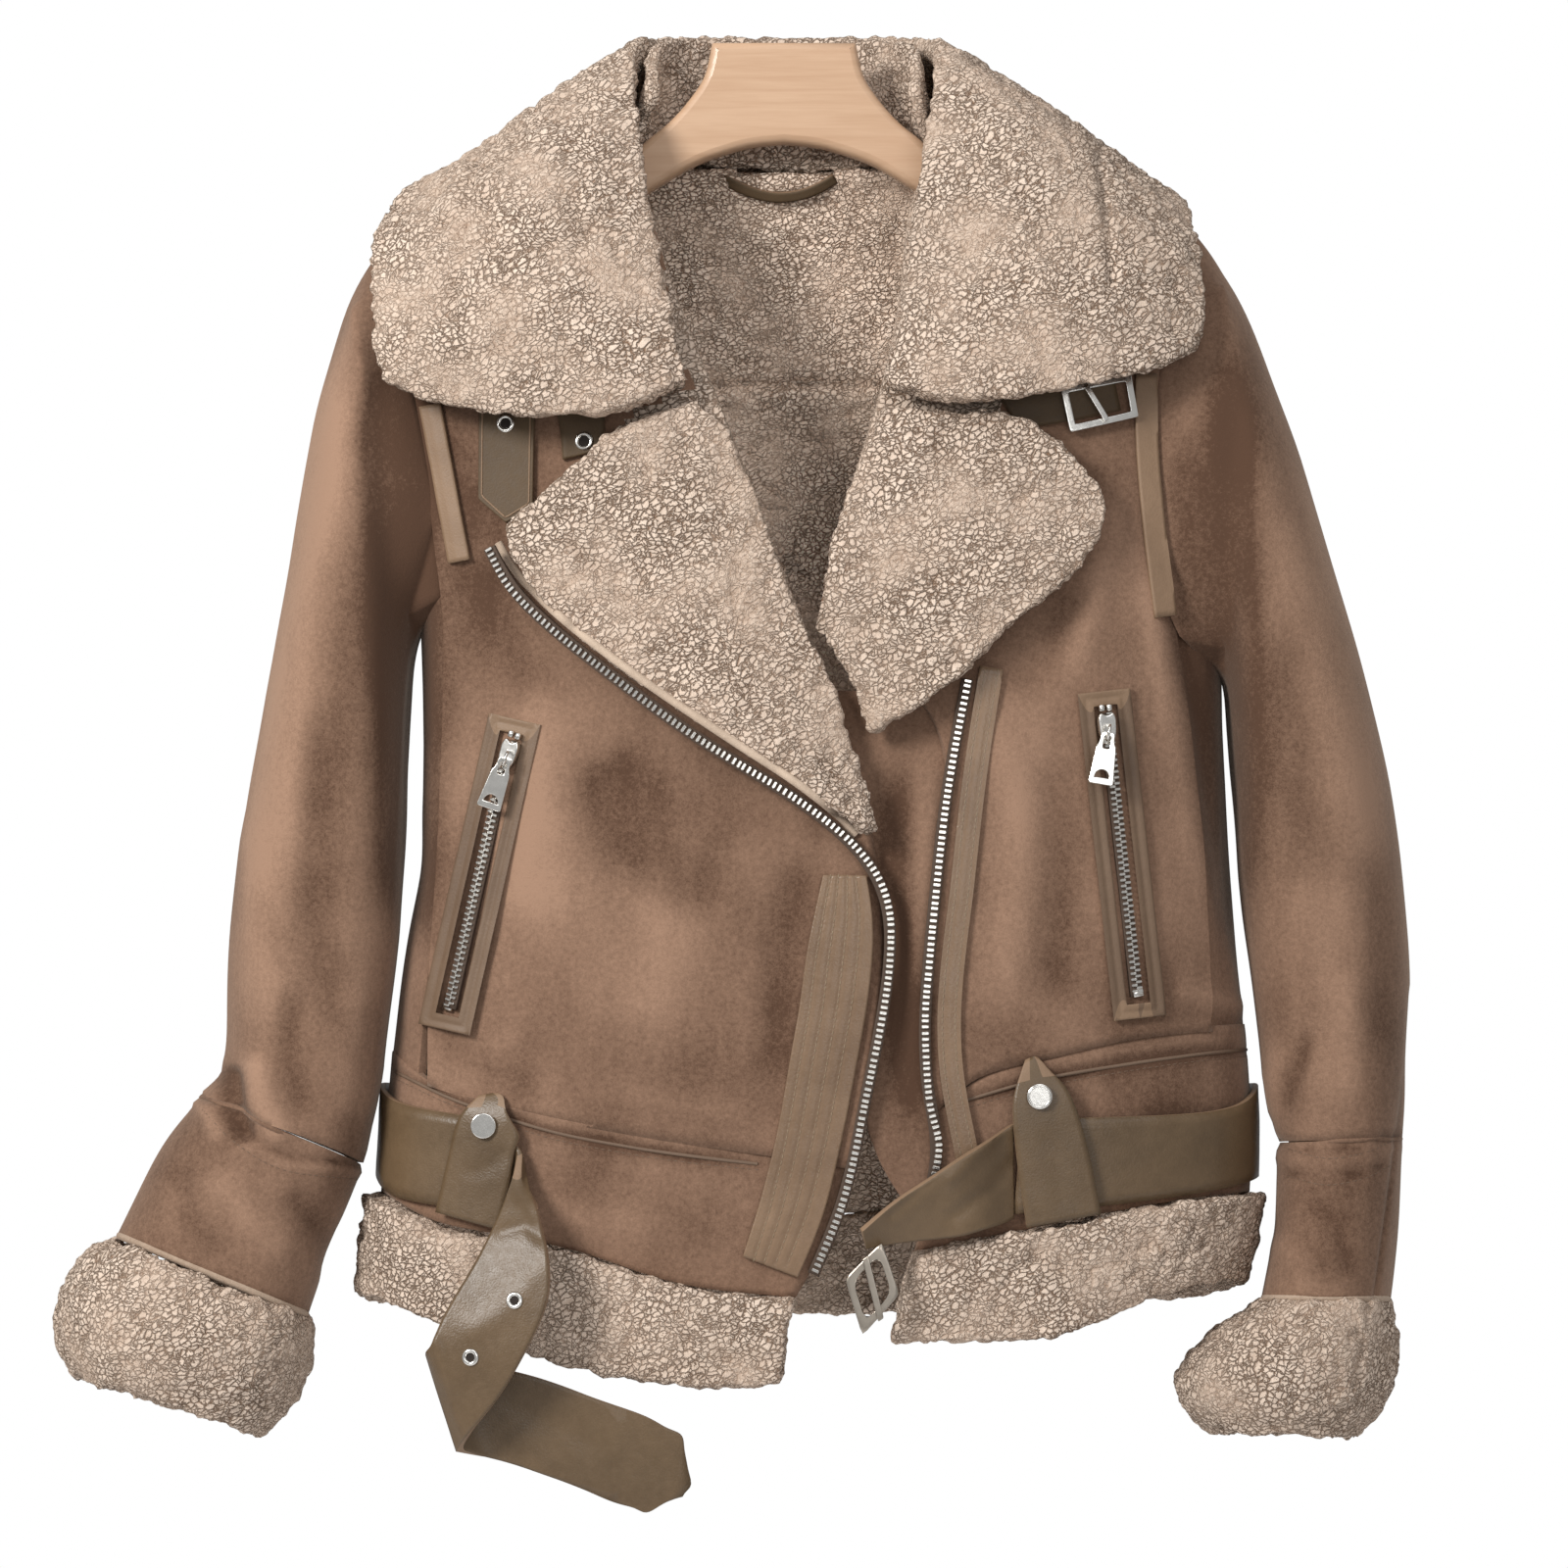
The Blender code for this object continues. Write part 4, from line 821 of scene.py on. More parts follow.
def reach_to_neighbours(points):
    """A side panel, wide enough to pass behind both panels beside it and up into the armhole."""
    wide = np.abs(points[:, 0])
    near_edge = (wide.max() - wide) / (wide.max() - wide.min())
    near_top = np.clip(1 - (points[:, 2].max() - points[:, 2]) / SIDE_TOP, 0.0, 1.0)
    moved = points.copy()
    moved[:, 0] -= np.sign(points[:, 0]) * SIDE_REACH * MM * near_edge
    moved[:, 2] += SIDE_RISE * MM * near_top
    return moved - away_from_body(points) * 1.0 * MM


for node in BODY:
    rows = FRONT_FOLDS + (WAIST_RIDGES if "waistband" in node else [])
    lean = None
    if "waistband" in node:
        lean = tuck_under
    if "side_panel" in node:
        lean = reach_to_neighbours
    levels = BACK_LEVELS if node.startswith("back") else CLOTH_LEVELS
    mesh = drape(node, away_from_body, rows, BACK_FOLDS, levels, lean)
    finish_cloth(node, mesh, away_from_body)

# %% [markdown]
# ## The sleeves
# Each sleeve is a tube that turns in slightly at the elbow, with one seam round it and another
# down its outer edge. The right one is bent at the elbow, so its folds gather there. The left one
# hangs almost straight, and has a narrow band sewn in above the forearm.

# %% Creases of the sleeves
RIGHT_ARM_FOLDS = [
    ([(380, 340), (388, 520), (398, 740), (390, 960)], 18, -4.0),
    ([(345, 330), (318, 520), (296, 720), (282, 900)], 34, 2.6),
    ([(330, 700), (322, 820), (318, 950), (330, 1060)], 22, -3.0),
    ([(262, 820), (262, 950), (280, 1060)], 20, 1.8),
    ([(232, 1084), (238, 1130), (252, 1170)], 11, -7.5),
    ([(258, 1070), (268, 1125), (290, 1172)], 13, 4.5),
    ([(200, 1100), (216, 1140), (226, 1170)], 10, 2.5),
    ([(300, 1000), (290, 1080), (310, 1150)], 13, -2.2),
    ([(350, 1000), (346, 1080), (352, 1150)], 16, 2.0),
    ([(205, 1116), (240, 1152), (290, 1180), (372, 1190)], 3.0, -1.8),
    ([(202, 1126), (236, 1161), (288, 1189), (372, 1199)], 4.0, 0.9),
    ([(215, 1190), (250, 1240), (300, 1290)], 18, 2.0),
    ([(180, 1180), (190, 1240), (230, 1290)], 14, -1.8),
    ([(290, 1210), (330, 1260), (340, 1310)], 14, -2.0),
]
LEFT_ARM_FOLDS = [
    ([(1262, 340), (1262, 520), (1270, 700), (1276, 900)], 16, -3.4),
    ([(1290, 380), (1330, 560), (1370, 740), (1395, 900)], 34, 2.4),
    ([(1310, 620), (1330, 780), (1340, 930)], 26, -2.0),
    ([(1400, 860), (1412, 980), (1405, 1090)], 18, -1.6),
    ([(1345, 1050), (1335, 1090), (1318, 1140)], 8, -2.4),
    ([(1320, 1060), (1314, 1110), (1306, 1150)], 9, 1.8),
    ([(1370, 980), (1378, 1060), (1372, 1140)], 20, 1.8),
    ([(1312, 1166), (1350, 1176), (1390, 1170), (1426, 1157)], 2.4, -1.8),
    ([(1312, 1180), (1350, 1190), (1390, 1184), (1424, 1172)], 6.0, 0.9),
    ([(1312, 1194), (1350, 1203), (1390, 1197), (1420, 1184)], 2.4, -1.6),
    ([(1424, 1158), (1422, 1190), (1412, 1260), (1402, 1330)], 2.4, -1.6),
    ([(1440, 1010), (1436, 1080), (1426, 1158)], 2.4, -1.2),
    ([(1330, 1220), (1366, 1250), (1380, 1310)], 12, -1.4),
    ([(1300, 1260), (1326, 1290), (1330, 1325)], 12, 1.4),
]
BACK_ARM_FOLDS = [
    ([(330, 420), (310, 620), (290, 820)], 26, 2.2),
    ([(290, 700), (270, 900), (262, 1040)], 20, -2.4),
    ([(345, 1040), (300, 1090), (262, 1130)], 12, -2.8),
    ([(350, 1075), (310, 1120), (280, 1160)], 12, 2.2),
    ([(1300, 420), (1350, 640), (1380, 860)], 28, 2.2),
    ([(1320, 700), (1350, 900), (1370, 1060)], 20, -2.2),
    ([(1310, 1060), (1350, 1090), (1400, 1100)], 12, -2.0),
]

print("creases of the sleeves:", sum(map(len, (RIGHT_ARM_FOLDS, LEFT_ARM_FOLDS, BACK_ARM_FOLDS))))

# %% Cut and crease the sleeves
ARM_FOLDS = {"right": RIGHT_ARM_FOLDS, "left": LEFT_ARM_FOLDS}
TO_BODY = {"right": 1.0, "left": -1.0}
LEAN = 9.0
LEAN_ENDS = (-0.62, -0.54)


def lean_on_body(side):
    """The inner side of an upper sleeve, moved over to lie on the body."""
    direction = away_from_arm(side)

    def lean(points):
        facing = np.clip(direction(points)[:, 0] * TO_BODY[side] / 0.8, 0.0, 1.0)
        high = np.clip((points[:, 2] - LEAN_ENDS[0]) / (LEAN_ENDS[1] - LEAN_ENDS[0]), 0.0, 1.0)
        moved = points.copy()
        moved[:, 0] += TO_BODY[side] * LEAN * MM * facing * high
        return moved

    return lean


for side, folds in ARM_FOLDS.items():
    direction = away_from_arm(side)
    for part in ("_sleeve_upper", "_sleeve_lower"):
        node = side + part
        mesh = drape(node, direction, folds, BACK_ARM_FOLDS, lean=lean_on_body(side))
        finish_cloth(node, mesh, direction)
print("sleeves dressed, with", len(RIGHT_ARM_FOLDS) + len(LEFT_ARM_FOLDS), "lines in front")

# %% [markdown]
# ## Turned seams
# A shearling seam is a thick turned edge, so no light passes through it. A soft roll runs along
# the rim of each lower piece and moves with the same creases as the cloth on both sides of it.

# %% Rolls on the seams
def smooth_line(points, step, closed=False):
    """Points a step apart on a smooth curve through the given ones."""
    points = np.array(points, dtype=float)
    ends = (points[-1:], points[:1]) if closed else (2 * points[:1] - points[1:2],
                                                     2 * points[-1:] - points[-2:-1])
    around = np.concatenate([ends[0], points, ends[1]] + ([points[1:2]] if closed else []))
    pieces = []
    for a, b, c, d in zip(around, around[1:], around[2:], around[3:]):
        count = max(1, round(float(np.linalg.norm(c - b)) / step))
        t = np.linspace(0.0, 1.0, count, endpoint=False)[:, None]
        pieces.append(0.5 * (2 * b + (c - a) * t + (2 * a - 5 * b + 4 * c - d) * t ** 2
                             + (3 * b - a - 3 * c + d) * t ** 3))
    if not closed:
        pieces.append(points[-1:])
    return np.concatenate(pieces)


def tube(points, radius, closed=False, sides=2):
    """The mesh of a round bar along points."""
    curve = bpy.data.curves.new("bar", "CURVE")
    curve.dimensions = "3D"
    curve.bevel_depth = radius
    curve.bevel_resolution = sides
    curve.use_fill_caps = True
    spline = curve.splines.new("POLY")
    spline.points.add(len(points) - 1)
    for spot, point in zip(spline.points, points):
        spot.co = (*point, 1.0)
    spline.use_cyclic_u = closed
    return settled(new_object("bar", curve))


def rims_of(node):
    """The closed lines of crisp edges round a tube of cloth, from the highest to the lowest."""
    work = welded(node)
    next_to = {}
    for edge in work.edges:
        if is_crisp(edge):
            for a, b in (edge.verts, reversed(edge.verts)):
                next_to.setdefault(a, []).append(b)
    loops, seen = [], set()
    for start in next_to:
        if start in seen:
            continue
        loop, here = [], start
        while here is not None:
            seen.add(here)
            loop.append(here.co.copy())
            here = next((v for v in next_to[here] if v not in seen), None)
        loops.append(np.array(loop))
    work.free()
    return sorted(loops, key=lambda loop: -loop[:, 2].mean())


def length_round(loop):
    return np.linalg.norm(loop - np.roll(loop, 1, axis=0), axis=1).sum()


ROLLS = {
    # which rim of the forearm piece, from the top: name, radius in mm, finish
    0: ("elbow_roll", 1.3, suede),
    1: ("wrist_roll", 2.2, pale_suede),
}


def roll_round_arm(side, pair, name, radius, finish):
    rims = rims_of(side + "_sleeve_lower")[2 * pair:2 * pair + 2]
    rim = smooth_line(max(rims, key=length_round), 0.002, closed=True)
    direction = away_from_arm(side)
    rim -= direction(rim) * (radius + 0.2) * MM
    mesh = tube(rim, radius * MM, closed=True)
    points = points_in(mesh)
    pixels = pixels_of(points)
    rise, _ = rise_of(points, pixels, ARM_FOLDS[side], BACK_ARM_FOLDS)
    move_points(mesh, points + direction(points) * rise[:, None] * MM)
    store(mesh, "fold", np.full(len(points), 0.42))
    add_piece(side + "_" + name, mesh, finish, "suede")
    print(side, name, "is", round(1000 * length_round(rim)), "mm round")


for side in TO_BODY:
    for pair, (name, radius, finish) in ROLLS.items():
        roll_round_arm(side, pair, name, radius, finish)

# %% [markdown]
# ## The fur pieces
# Collar, lapels, cuffs and hem turn their fur outwards. The mesh holds the large curls, 8 mm
# across, gathered in clumps with a crack round each, and the shader adds the small ones. Where the
# collar and the lapel have a seam or a turned edge under the fur, a groove shows through.

# %% Curls
CURL, CLUMP = 0.0078, 0.0170
CURL_RISE, CLUMP_RISE, SWELL, TUFTS = 1.8, 1.9, 1.4, 1.5
FUR_LEVELS, INSET = 2, 2.6
CUBE = 0.0020
FUR_GROOVES = {
    "collar_fall": [
        ([(487, 146), (476, 215), (466, 270), (460, 328)], 5, -2.6),
        ([(1122, 156), (1130, 215), (1134, 250), (1135, 283)], 5, -2.6),
        ([(700, 330), (694, 380), (690, 420)], 8, -2.0),
        ([(497, 196), (503, 226), (522, 246), (520, 268)], 4, -2.0),
        ([(584, 206), (596, 232), (640, 240)], 4, -2.0),
        ([(588, 250), (610, 222), (642, 204)], 4, -1.8),
        ([(1040, 196), (1062, 214), (1072, 246)], 4, -1.8),
        ([(1000, 250), (1030, 236), (1050, 214)], 4, -1.6),
        ([(560, 70), (545, 160), (560, 260)], 24, 1.6),
        ([(1010, 90), (1040, 180), (1030, 280)], 26, 1.8),
        ([(420, 200), (440, 280), (430, 360)], 18, 1.4),
    ],
    "right_lapel": [
        ([(568, 541), (610, 580), (653, 617), (732, 682), (800, 740), (870, 810)], 5, -2.2),
        ([(600, 470), (650, 440), (690, 430)], 14, 2.0),
    ],
    "left_lapel": [
        ([(960, 450), (1040, 470), (1100, 520)], 16, 1.5),
        ([(940, 640), (1000, 640), (1060, 600)], 14, -1.4),
    ],
}


def curly(points, seed=5):
    """How far each point of the fur stands, in millimetres, and its pile from 0 to 1."""
    bent = points + 0.0012 * np.column_stack([drift(points, 0.006, seed + k) for k in (1, 2, 3)])
    near, nearer_next, number = nearest_cells(bent, CURL, seed)
    far, far_next, clump_number = nearest_cells(bent, CLUMP, seed + 20)
    dome = np.sqrt(np.clip(1 - (near / 0.78) ** 2, 0.0, 1.0)) * (0.7 + 0.3 * number)
    crack = np.clip((far_next - far) / 0.24, 0.0, 1.0) ** 0.6
    depth = 0.45 + 0.55 * (drift(points, 0.03, seed + 40) * 0.5 + 0.5)
    crack = 1 - (1 - crack) * depth
    rise = CURL_RISE * dome + CLUMP_RISE * crack + 0.5 * clump_number
    # The pile from 0 to 1 sets the fur's colour: painted shade in the cracks and low places, painted
    # light on the domes.
    return rise, np.clip(0.50 * dome + 0.55 * crack - 0.10, 0.0, 1.0)


def dress_fur(node, cube):
    mesh = finer(node, FUR_LEVELS, cube)
    points, normals = points_in(mesh), normals_in(mesh)
    rise, pile = curly(points)
    groove = relief(pixels_of(points), FUR_GROOVES.get(node, []))
    groove *= np.clip(0.5 - points[:, 1] / 0.02, 0.0, 1.0) * (normals[:, 1] < 0.3)
    slow = SWELL * drift(points, 0.028, 9)
    rim = np.clip(1.2 - np.abs(normals[:, 1]) * 1.6, 0.0, 1.0)
    total = rise - INSET + slow + groove + TUFTS * rim * drift(points, 0.0048, 51)
    move_points(mesh, points + normals * total[:, None] * MM)
    made = add_piece("furry_" + node, mesh, fur, "fur", (node,))
    # The grooves change the pile a little too: painted shade in grooves, painted light on raised
    # lines.
    store(mesh, "pile", np.clip(pile + 0.05 * groove, 0.0, 1.0))
    return made


FURRY = ["collar_fall", "collar_stand", "right_lapel", "left_lapel", "right_cuff", "left_cuff",
         "right_hem", "left_hem", "back_hem"]
for node in FURRY:
    made = dress_fur(node, CUBE * (1.2 if node == "collar_fall" else 1.0))
    print(node, "faces:", len(made.data.polygons))

# %% [markdown]
# ## The fur inside
# The neck opening shows the fur side of the back. A grid of rays goes in through the opening and
# lands on the back's inner face, and the points that it finds carry the same curls as the collar.
# One seam crosses them, with painted shade along its groove. This fur is painted lighter than the
# collar's: painted light where the jacket shades it.

# %% Lining behind the neck
LINING_LEFT, LINING_RIGHT, LINING_TOP, LINING_FOOT = 596, 1012, 138, 900
LINING_STEP = 3.7
LINING_GROOVES = [
    ([(690, 386), (735, 392), (905, 392), (960, 386)], 5, -2.6),
    ([(690, 402), (735, 409), (905, 409), (960, 402)], 9, 1.4),
    ([(780, 160), (790, 260), (770, 360)], 20, 1.2),
    ([(840, 420), (800, 520), (820, 640)], 26, -1.6),
]


def make_lining():
    points, index = [], {}
    downs = np.arange(LINING_TOP, LINING_FOOT, LINING_STEP)
    acrosses = np.arange(LINING_LEFT, LINING_RIGHT, LINING_STEP)
    for i, down in enumerate(downs):
        for j, across in enumerate(acrosses):
            found = touch((across, down), ["dressed_back_panel"])
            if found:
                index[i, j] = len(points)
                points.append(found[0])
    faces = []
    for i, j in index:
        corners = [(i, j), (i + 1, j), (i + 1, j + 1), (i, j + 1)]
        if all(corner in index for corner in corners):
            faces.append([index[corner] for corner in corners])
    mesh = bpy.data.meshes.new("lining")
    mesh.from_pydata(points, [], faces)
    points, normals = points_in(mesh), normals_in(mesh)
    normals *= -np.sign(normals[:, 1:2] + 1e-9)
    rise, pile = curly(points, 11)
    rise += relief(pixels_of(points), LINING_GROOVES) - 0.6
    move_points(mesh, points + normals * rise[:, None] * MM)
    # The seam's groove also lowers the pile, which paints shade along the seam.
    groove = np.minimum(relief(pixels_of(points), LINING_GROOVES[:1]), 0.0)
    store(mesh, "pile", np.clip(pile + 0.4 * groove, 0.0, 1.0))
    return add_piece("neck_lining", mesh, inner_fur, "fur")


lining = make_lining()
print("lining faces:", len(lining.data.polygons))

# %% [markdown]
# ## Leather straps and edges
# The straps are cut from one layer, so the cut edge shows paler than the face. Plackets are
# topstitched in long channels, the belt wrinkles where it bends, and pipings are folded strips.

# %% Leather pieces
PLACKET = {
    # middle x, y, width in pixels
    "right": [(862, 893, 40), (861, 935, 58), (856, 981, 66), (850, 1029, 66), (841, 1079, 66),
              (824, 1169, 64), (808, 1233, 62), (788, 1290, 56)],
    "left": [(1012, 684, 22), (1000, 755, 22), (990, 829, 22), (982, 905, 22), (972, 985, 22),
             (968, 1045, 22), (972, 1105, 22), (982, 1155, 22), (990, 1192, 22)],
}
CHANNELS = {"right": (-0.36, -0.16, 0.06, 0.28), "left": (-0.30, 0.30)}


def channel_lines(side):
    return [[(x + share * width, y) for x, y, width in PLACKET[side]]
            for share in CHANNELS[side]]


WELT_LINE = {
    "right": [(505, 736), (542, 744), (473, 1048), (436, 1040), (505, 736)],
    "left": [(1108, 714), (1146, 710), (1182, 1030), (1144, 1034), (1108, 714)],
}
STRAP_FOLDS = {
    "right_pocket_welt": [(WELT_LINE["right"], 2.4, -0.7)],
    "left_pocket_welt": [(WELT_LINE["left"], 2.4, -0.7)],
    "right_placket": [(line, 2.2, -0.55) for line in channel_lines("right")],
    "left_placket": [(line, 1.8, -0.45) for line in channel_lines("left")],
    "right_armhole_piping": [([(438, 413), (448, 460), (458, 520), (468, 573)], 5, 0.5)],
    "left_armhole_piping": [([(1178, 381), (1184, 440), (1190, 500), (1199, 629)], 5, 0.5)],
    "belt_buckle_end": [
        ([(1026, 1148), (1000, 1175), (960, 1215)], 7, 1.1),
        ([(1040, 1175), (1010, 1215), (960, 1250)], 8, -1.2),
        ([(1010, 1150), (960, 1195), (910, 1240)], 6, -0.9),
    ],
    "belt_tail": [
        ([(500, 1260), (536, 1250), (560, 1268)], 7, 1.0),
        ([(520, 1180), (525, 1215), (545, 1240)], 6, -1.0),
        ([(445, 1366), (458, 1420), (474, 1470)], 5, 0.9),
        ([(500, 1420), (560, 1450), (620, 1480)], 14, -0.8),
        ([(560, 1280), (520, 1330), (470, 1370)], 13, 0.7),
    ],
    "belt_back": [
        ([(395, 1130), (440, 1150), (500, 1156)], 6, 0.7),
        ([(1150, 1110), (1200, 1150), (1290, 1150)], 14, 0.6),
        ([(1180, 1130), (1240, 1180), (1290, 1190)], 10, -0.7),
    ],
    "right_belt_loop": [([(470, 1200), (500, 1190), (524, 1170)], 9, -0.6)],
    "left_belt_loop": [([(1060, 1150), (1080, 1180), (1085, 1240)], 9, -0.6)],
}
STRAPS = {
    "belt_back": leather, "belt_tail": leather, "belt_buckle_end": leather,
    "right_belt_loop": leather, "left_belt_loop": leather, "back_belt_loop": leather,
    "right_throat_strap_inner": strap_leather,
    "left_throat_strap": strap_leather, "hanger_loop": strap_leather,
    "right_placket": placket_leather, "left_placket": placket_leather,
    "right_armhole_piping": edge_leather, "left_armhole_piping": edge_leather,
    "right_pocket_welt": welt_leather, "left_pocket_welt": welt_leather,
}
TIPS = {
    # node: pixel near the tip, reach in pixels, pull in mm across and up
    "belt_tail": [((706, 1512), 11, 4.0, -3.0), ((690, 1468), 12, 3.0, 2.0),
                  ((662, 1534), 12, -1.0, -3.5)],
    "right_belt_loop": [((500, 1124), 13, 5.0, 2.5), ((524, 1160), 10, 2.5, 0.0)],
    "left_belt_loop": [((1056, 1086), 12, 0.0, 3.5)],
}


def pull_tips(node, points, pixels):
    """The rounded corners of a strap's end, drawn out to points."""
    for middle, reach, across, up in TIPS.get(node, []):
        near = np.exp(-(np.linalg.norm(pixels - np.array(middle), axis=1) / reach) ** 2)
        points = points + near[:, None] * np.array([across, 0.0, up]) * MM
    return points


CREASED = ("belt_tail", "belt_buckle_end", "right_placket", "right_pocket_welt", "left_pocket_welt")
for node, finish in STRAPS.items():
    mesh = finer(node, 3 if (node in CREASED) else 2)
    rims = np.zeros(len(mesh.polygons), dtype=np.int32)
    mesh.polygons.foreach_get("material_index", rims)
    points = points_in(mesh)
    pixels = pixels_of(points)
    rise = relief(pixels, STRAP_FOLDS.get(node, []))
    rise += 0.25 * drift(points, 0.012, 31)
    points = pull_tips(node, points, pixels)
    move_points(mesh, points + away_from_body(points) * rise[:, None] * MM)
    mesh.set_sharp_from_angle(angle=CORNER)
    add_piece("sewn_" + node, mesh, (finish, edge_leather), "leather", (node,))
    mesh.polygons.foreach_set("material_index", rims)
print("leather pieces:", len(STRAPS))

# %% [markdown]
# ## Stitches
# Each stitch is a short thread that lies on the surface found behind its pixel and points along
# the seam. All the stitches of one thread are joined in a single mesh.

# %% Sewing
def copies(template, places):
    """One mesh of many copies of a template's points and faces, each set by a matrix."""
    corners, faces = template
    points, joined = [], []
    for place in places:
        start = len(points)
        points.extend(place @ corner for corner in corners)
        joined.extend([start + k for k in face] for face in faces)
    mesh = bpy.data.meshes.new("copies")
    mesh.from_pydata(points, [], joined)
    return mesh


def template_of(work):
    work.verts.index_update()
    made = ([v.co.copy() for v in work.verts], [[v.index for v in f.verts] for f in work.faces])
    work.free()
    return made


def thread_template(length, thick):
    work = bmesh.new()
    bmesh.ops.create_uvsphere(work, u_segments=6, v_segments=5, radius=0.5)
    bmesh.ops.rotate(work, verts=work.verts, matrix=Matrix.Rotation(math.pi / 2, 3, "X"))
    bmesh.ops.scale(work, verts=work.verts, vec=(thick * MM, length * MM, thick * MM))
    return template_of(work)


def axes(spot, along, normal):
    """The matrix whose y runs along a line and whose z stands out of the surface."""
    y = (along - normal * along.dot(normal)).normalized()
    turn = Matrix((y.cross(normal), y, normal)).transposed().to_4x4()
    return Matrix.Translation(spot) @ turn


LONGEST_STEP = 6.0


def walk(line, pitch, names, lift=0.0, start=0.0):
    """A matrix every few millimetres along a line of pixels, on the named pieces."""
    hits = [touch(pixel, names) for pixel in smooth_line(line, 1.0)]
    spots = [hit for hit in hits if hit]
    places, run, due = [], 0.0, start * pitch * MM
    for before, after in zip(spots, spots[1:]):
        step = (after[0] - before[0]).length
        if step > LONGEST_STEP * MM:
            continue
        run += step
        if run >= due:
            normal = (before[1] + after[1]).normalized()
            places.append(axes(after[0] + normal * lift * MM, after[0] - before[0], normal))
            due += pitch * MM
    return places


WAIST_STITCHES = [
    [(404, 1101), (470, 1131), (560, 1161), (640, 1177), (700, 1186), (776, 1194)],
    [(978, 1133), (1060, 1110), (1150, 1093), (1230, 1082), (1284, 1077)],
]
SLEEVE_STITCHES = [
    [(206, 1132), (240, 1166), (290, 1194), (370, 1204)],
    [(1314, 1172), (1352, 1182), (1390, 1177), (1422, 1164)],
    [(1314, 1200), (1352, 1209), (1390, 1203), (1418, 1190)],
]
BODY_SKINS = ["dressed_" + name for name in BODY]
SLEEVE_SKINS = ["dressed_" + side + part for side in TO_BODY
                for part in ("_sleeve_upper", "_sleeve_lower")]
stitch = thread_template(2.5, 0.5)
dark_rows = WAIST_STITCHES + SLEEVE_STITCHES
pale_rows = channel_lines("right") + channel_lines("left")
dark_places = [place for line in dark_rows for place in walk(line, 3.4, BODY_SKINS + SLEEVE_SKINS)]
pale_places = [place for line in pale_rows
               for place in walk(line, 3.2, ["sewn_right_placket", "sewn_left_placket"], 0.1)]
add_piece("dark_stitches", copies(stitch, dark_places), thread, "suede")
add_piece("pale_stitches", copies(stitch, pale_places), pale_thread, "leather")
print("stitches:", len(dark_places) + len(pale_places))

# A thin dark cord sunk along each waist seam is painted shadow: it stands for the shade in the seam's
# groove.
SEAM_SHADOW_LINES = [
    [(404, 1094), (470, 1125), (560, 1154), (640, 1170), (700, 1179), (776, 1188)],
    [(978, 1125), (1060, 1102), (1150, 1086), (1230, 1075), (1284, 1070)],
]
for number, line in enumerate(SEAM_SHADOW_LINES):
    spots = [tuple(place.translation) for place in walk(line, 4.0, BODY_SKINS, -0.1)]
    seam_shadow_cord = tube(smooth_line(spots, 0.003), 0.0010)
    store(seam_shadow_cord, "fold", np.zeros(len(seam_shadow_cord.vertices)))
    add_piece("waist_seam_" + "ab"[number], seam_shadow_cord, thread, "suede")

# %% [markdown]
# ## Zips
# The front zips hang open, so each shows one row of teeth on a dark tape. The pocket zips are
# shut, so two rows mesh. A tooth is a small bevelled bar across the tape, one every 3 mm.

# %% Tapes and teeth
FRONT_ZIPS = {
    "right": [(498, 559), (520, 599), (560, 639), (600, 671), (650, 709), (700, 745), (750, 777),
              (800, 807), (840, 835), (872, 863), (896, 895), (908, 933), (908, 981), (902, 1029),
              (892, 1081), (882, 1129), (870, 1189), (856, 1239), (830, 1301)],
    "left": [(988, 693), (974, 765), (964, 829), (956, 901), (948, 985), (944, 1045), (948, 1121),
             (958, 1169), (950, 1217)],
}
POCKET_ZIPS = {"right": [(520, 755), (489, 892), (458, 1029)],
               "left": [(1129, 727), (1145, 872), (1161, 1017)]}
TOOTH_PITCH = 3.0


def tooth_template(along, across, out):
    work = bmesh.new()
    bmesh.ops.create_cube(work, size=1.0)
    bmesh.ops.scale(work, verts=work.verts, vec=(across * MM, along * MM, out * MM))
    bmesh.ops.bevel(work, geom=work.edges, offset=0.35 * MM, segments=1, affect="EDGES")
    return template_of(work)


def lay_tape(node):
    mesh = finer(node, 2)
    points = points_in(mesh)
    move_points(mesh, points - away_from_body(points) * 1.3 * MM)
    add_piece("tape_of_" + node, mesh, tape, "nickel", (node,))
    return "tape_of_" + node


def row_of_teeth(line, tape_name, shift, start=0.0, lift=0.55):
    places = walk(line, TOOTH_PITCH, [tape_name], lift, start)
    return [place @ Matrix.Translation((shift * MM, 0, 0)) for place in places]


tooth = tooth_template(1.5, 3.9, 1.9)
half_tooth = tooth_template(1.35, 3.3, 1.7)
front_teeth, pocket_teeth = [], []
for side, line in FRONT_ZIPS.items():
    front_teeth += row_of_teeth(line, lay_tape(side + "_front_zip"), 0.0)
for side, line in POCKET_ZIPS.items():
    tape_name = lay_tape(side + "_pocket_zip")
    pocket_teeth += row_of_teeth(line, tape_name, -1.25)
    pocket_teeth += row_of_teeth(line, tape_name, 1.25, 0.5)
add_piece("front_teeth", copies(tooth, front_teeth), nickel, "nickel", smooth=False)
add_piece("pocket_teeth", copies(half_tooth, pocket_teeth), nickel, "nickel", smooth=False)
print("teeth:", len(front_teeth) + len(pocket_teeth))

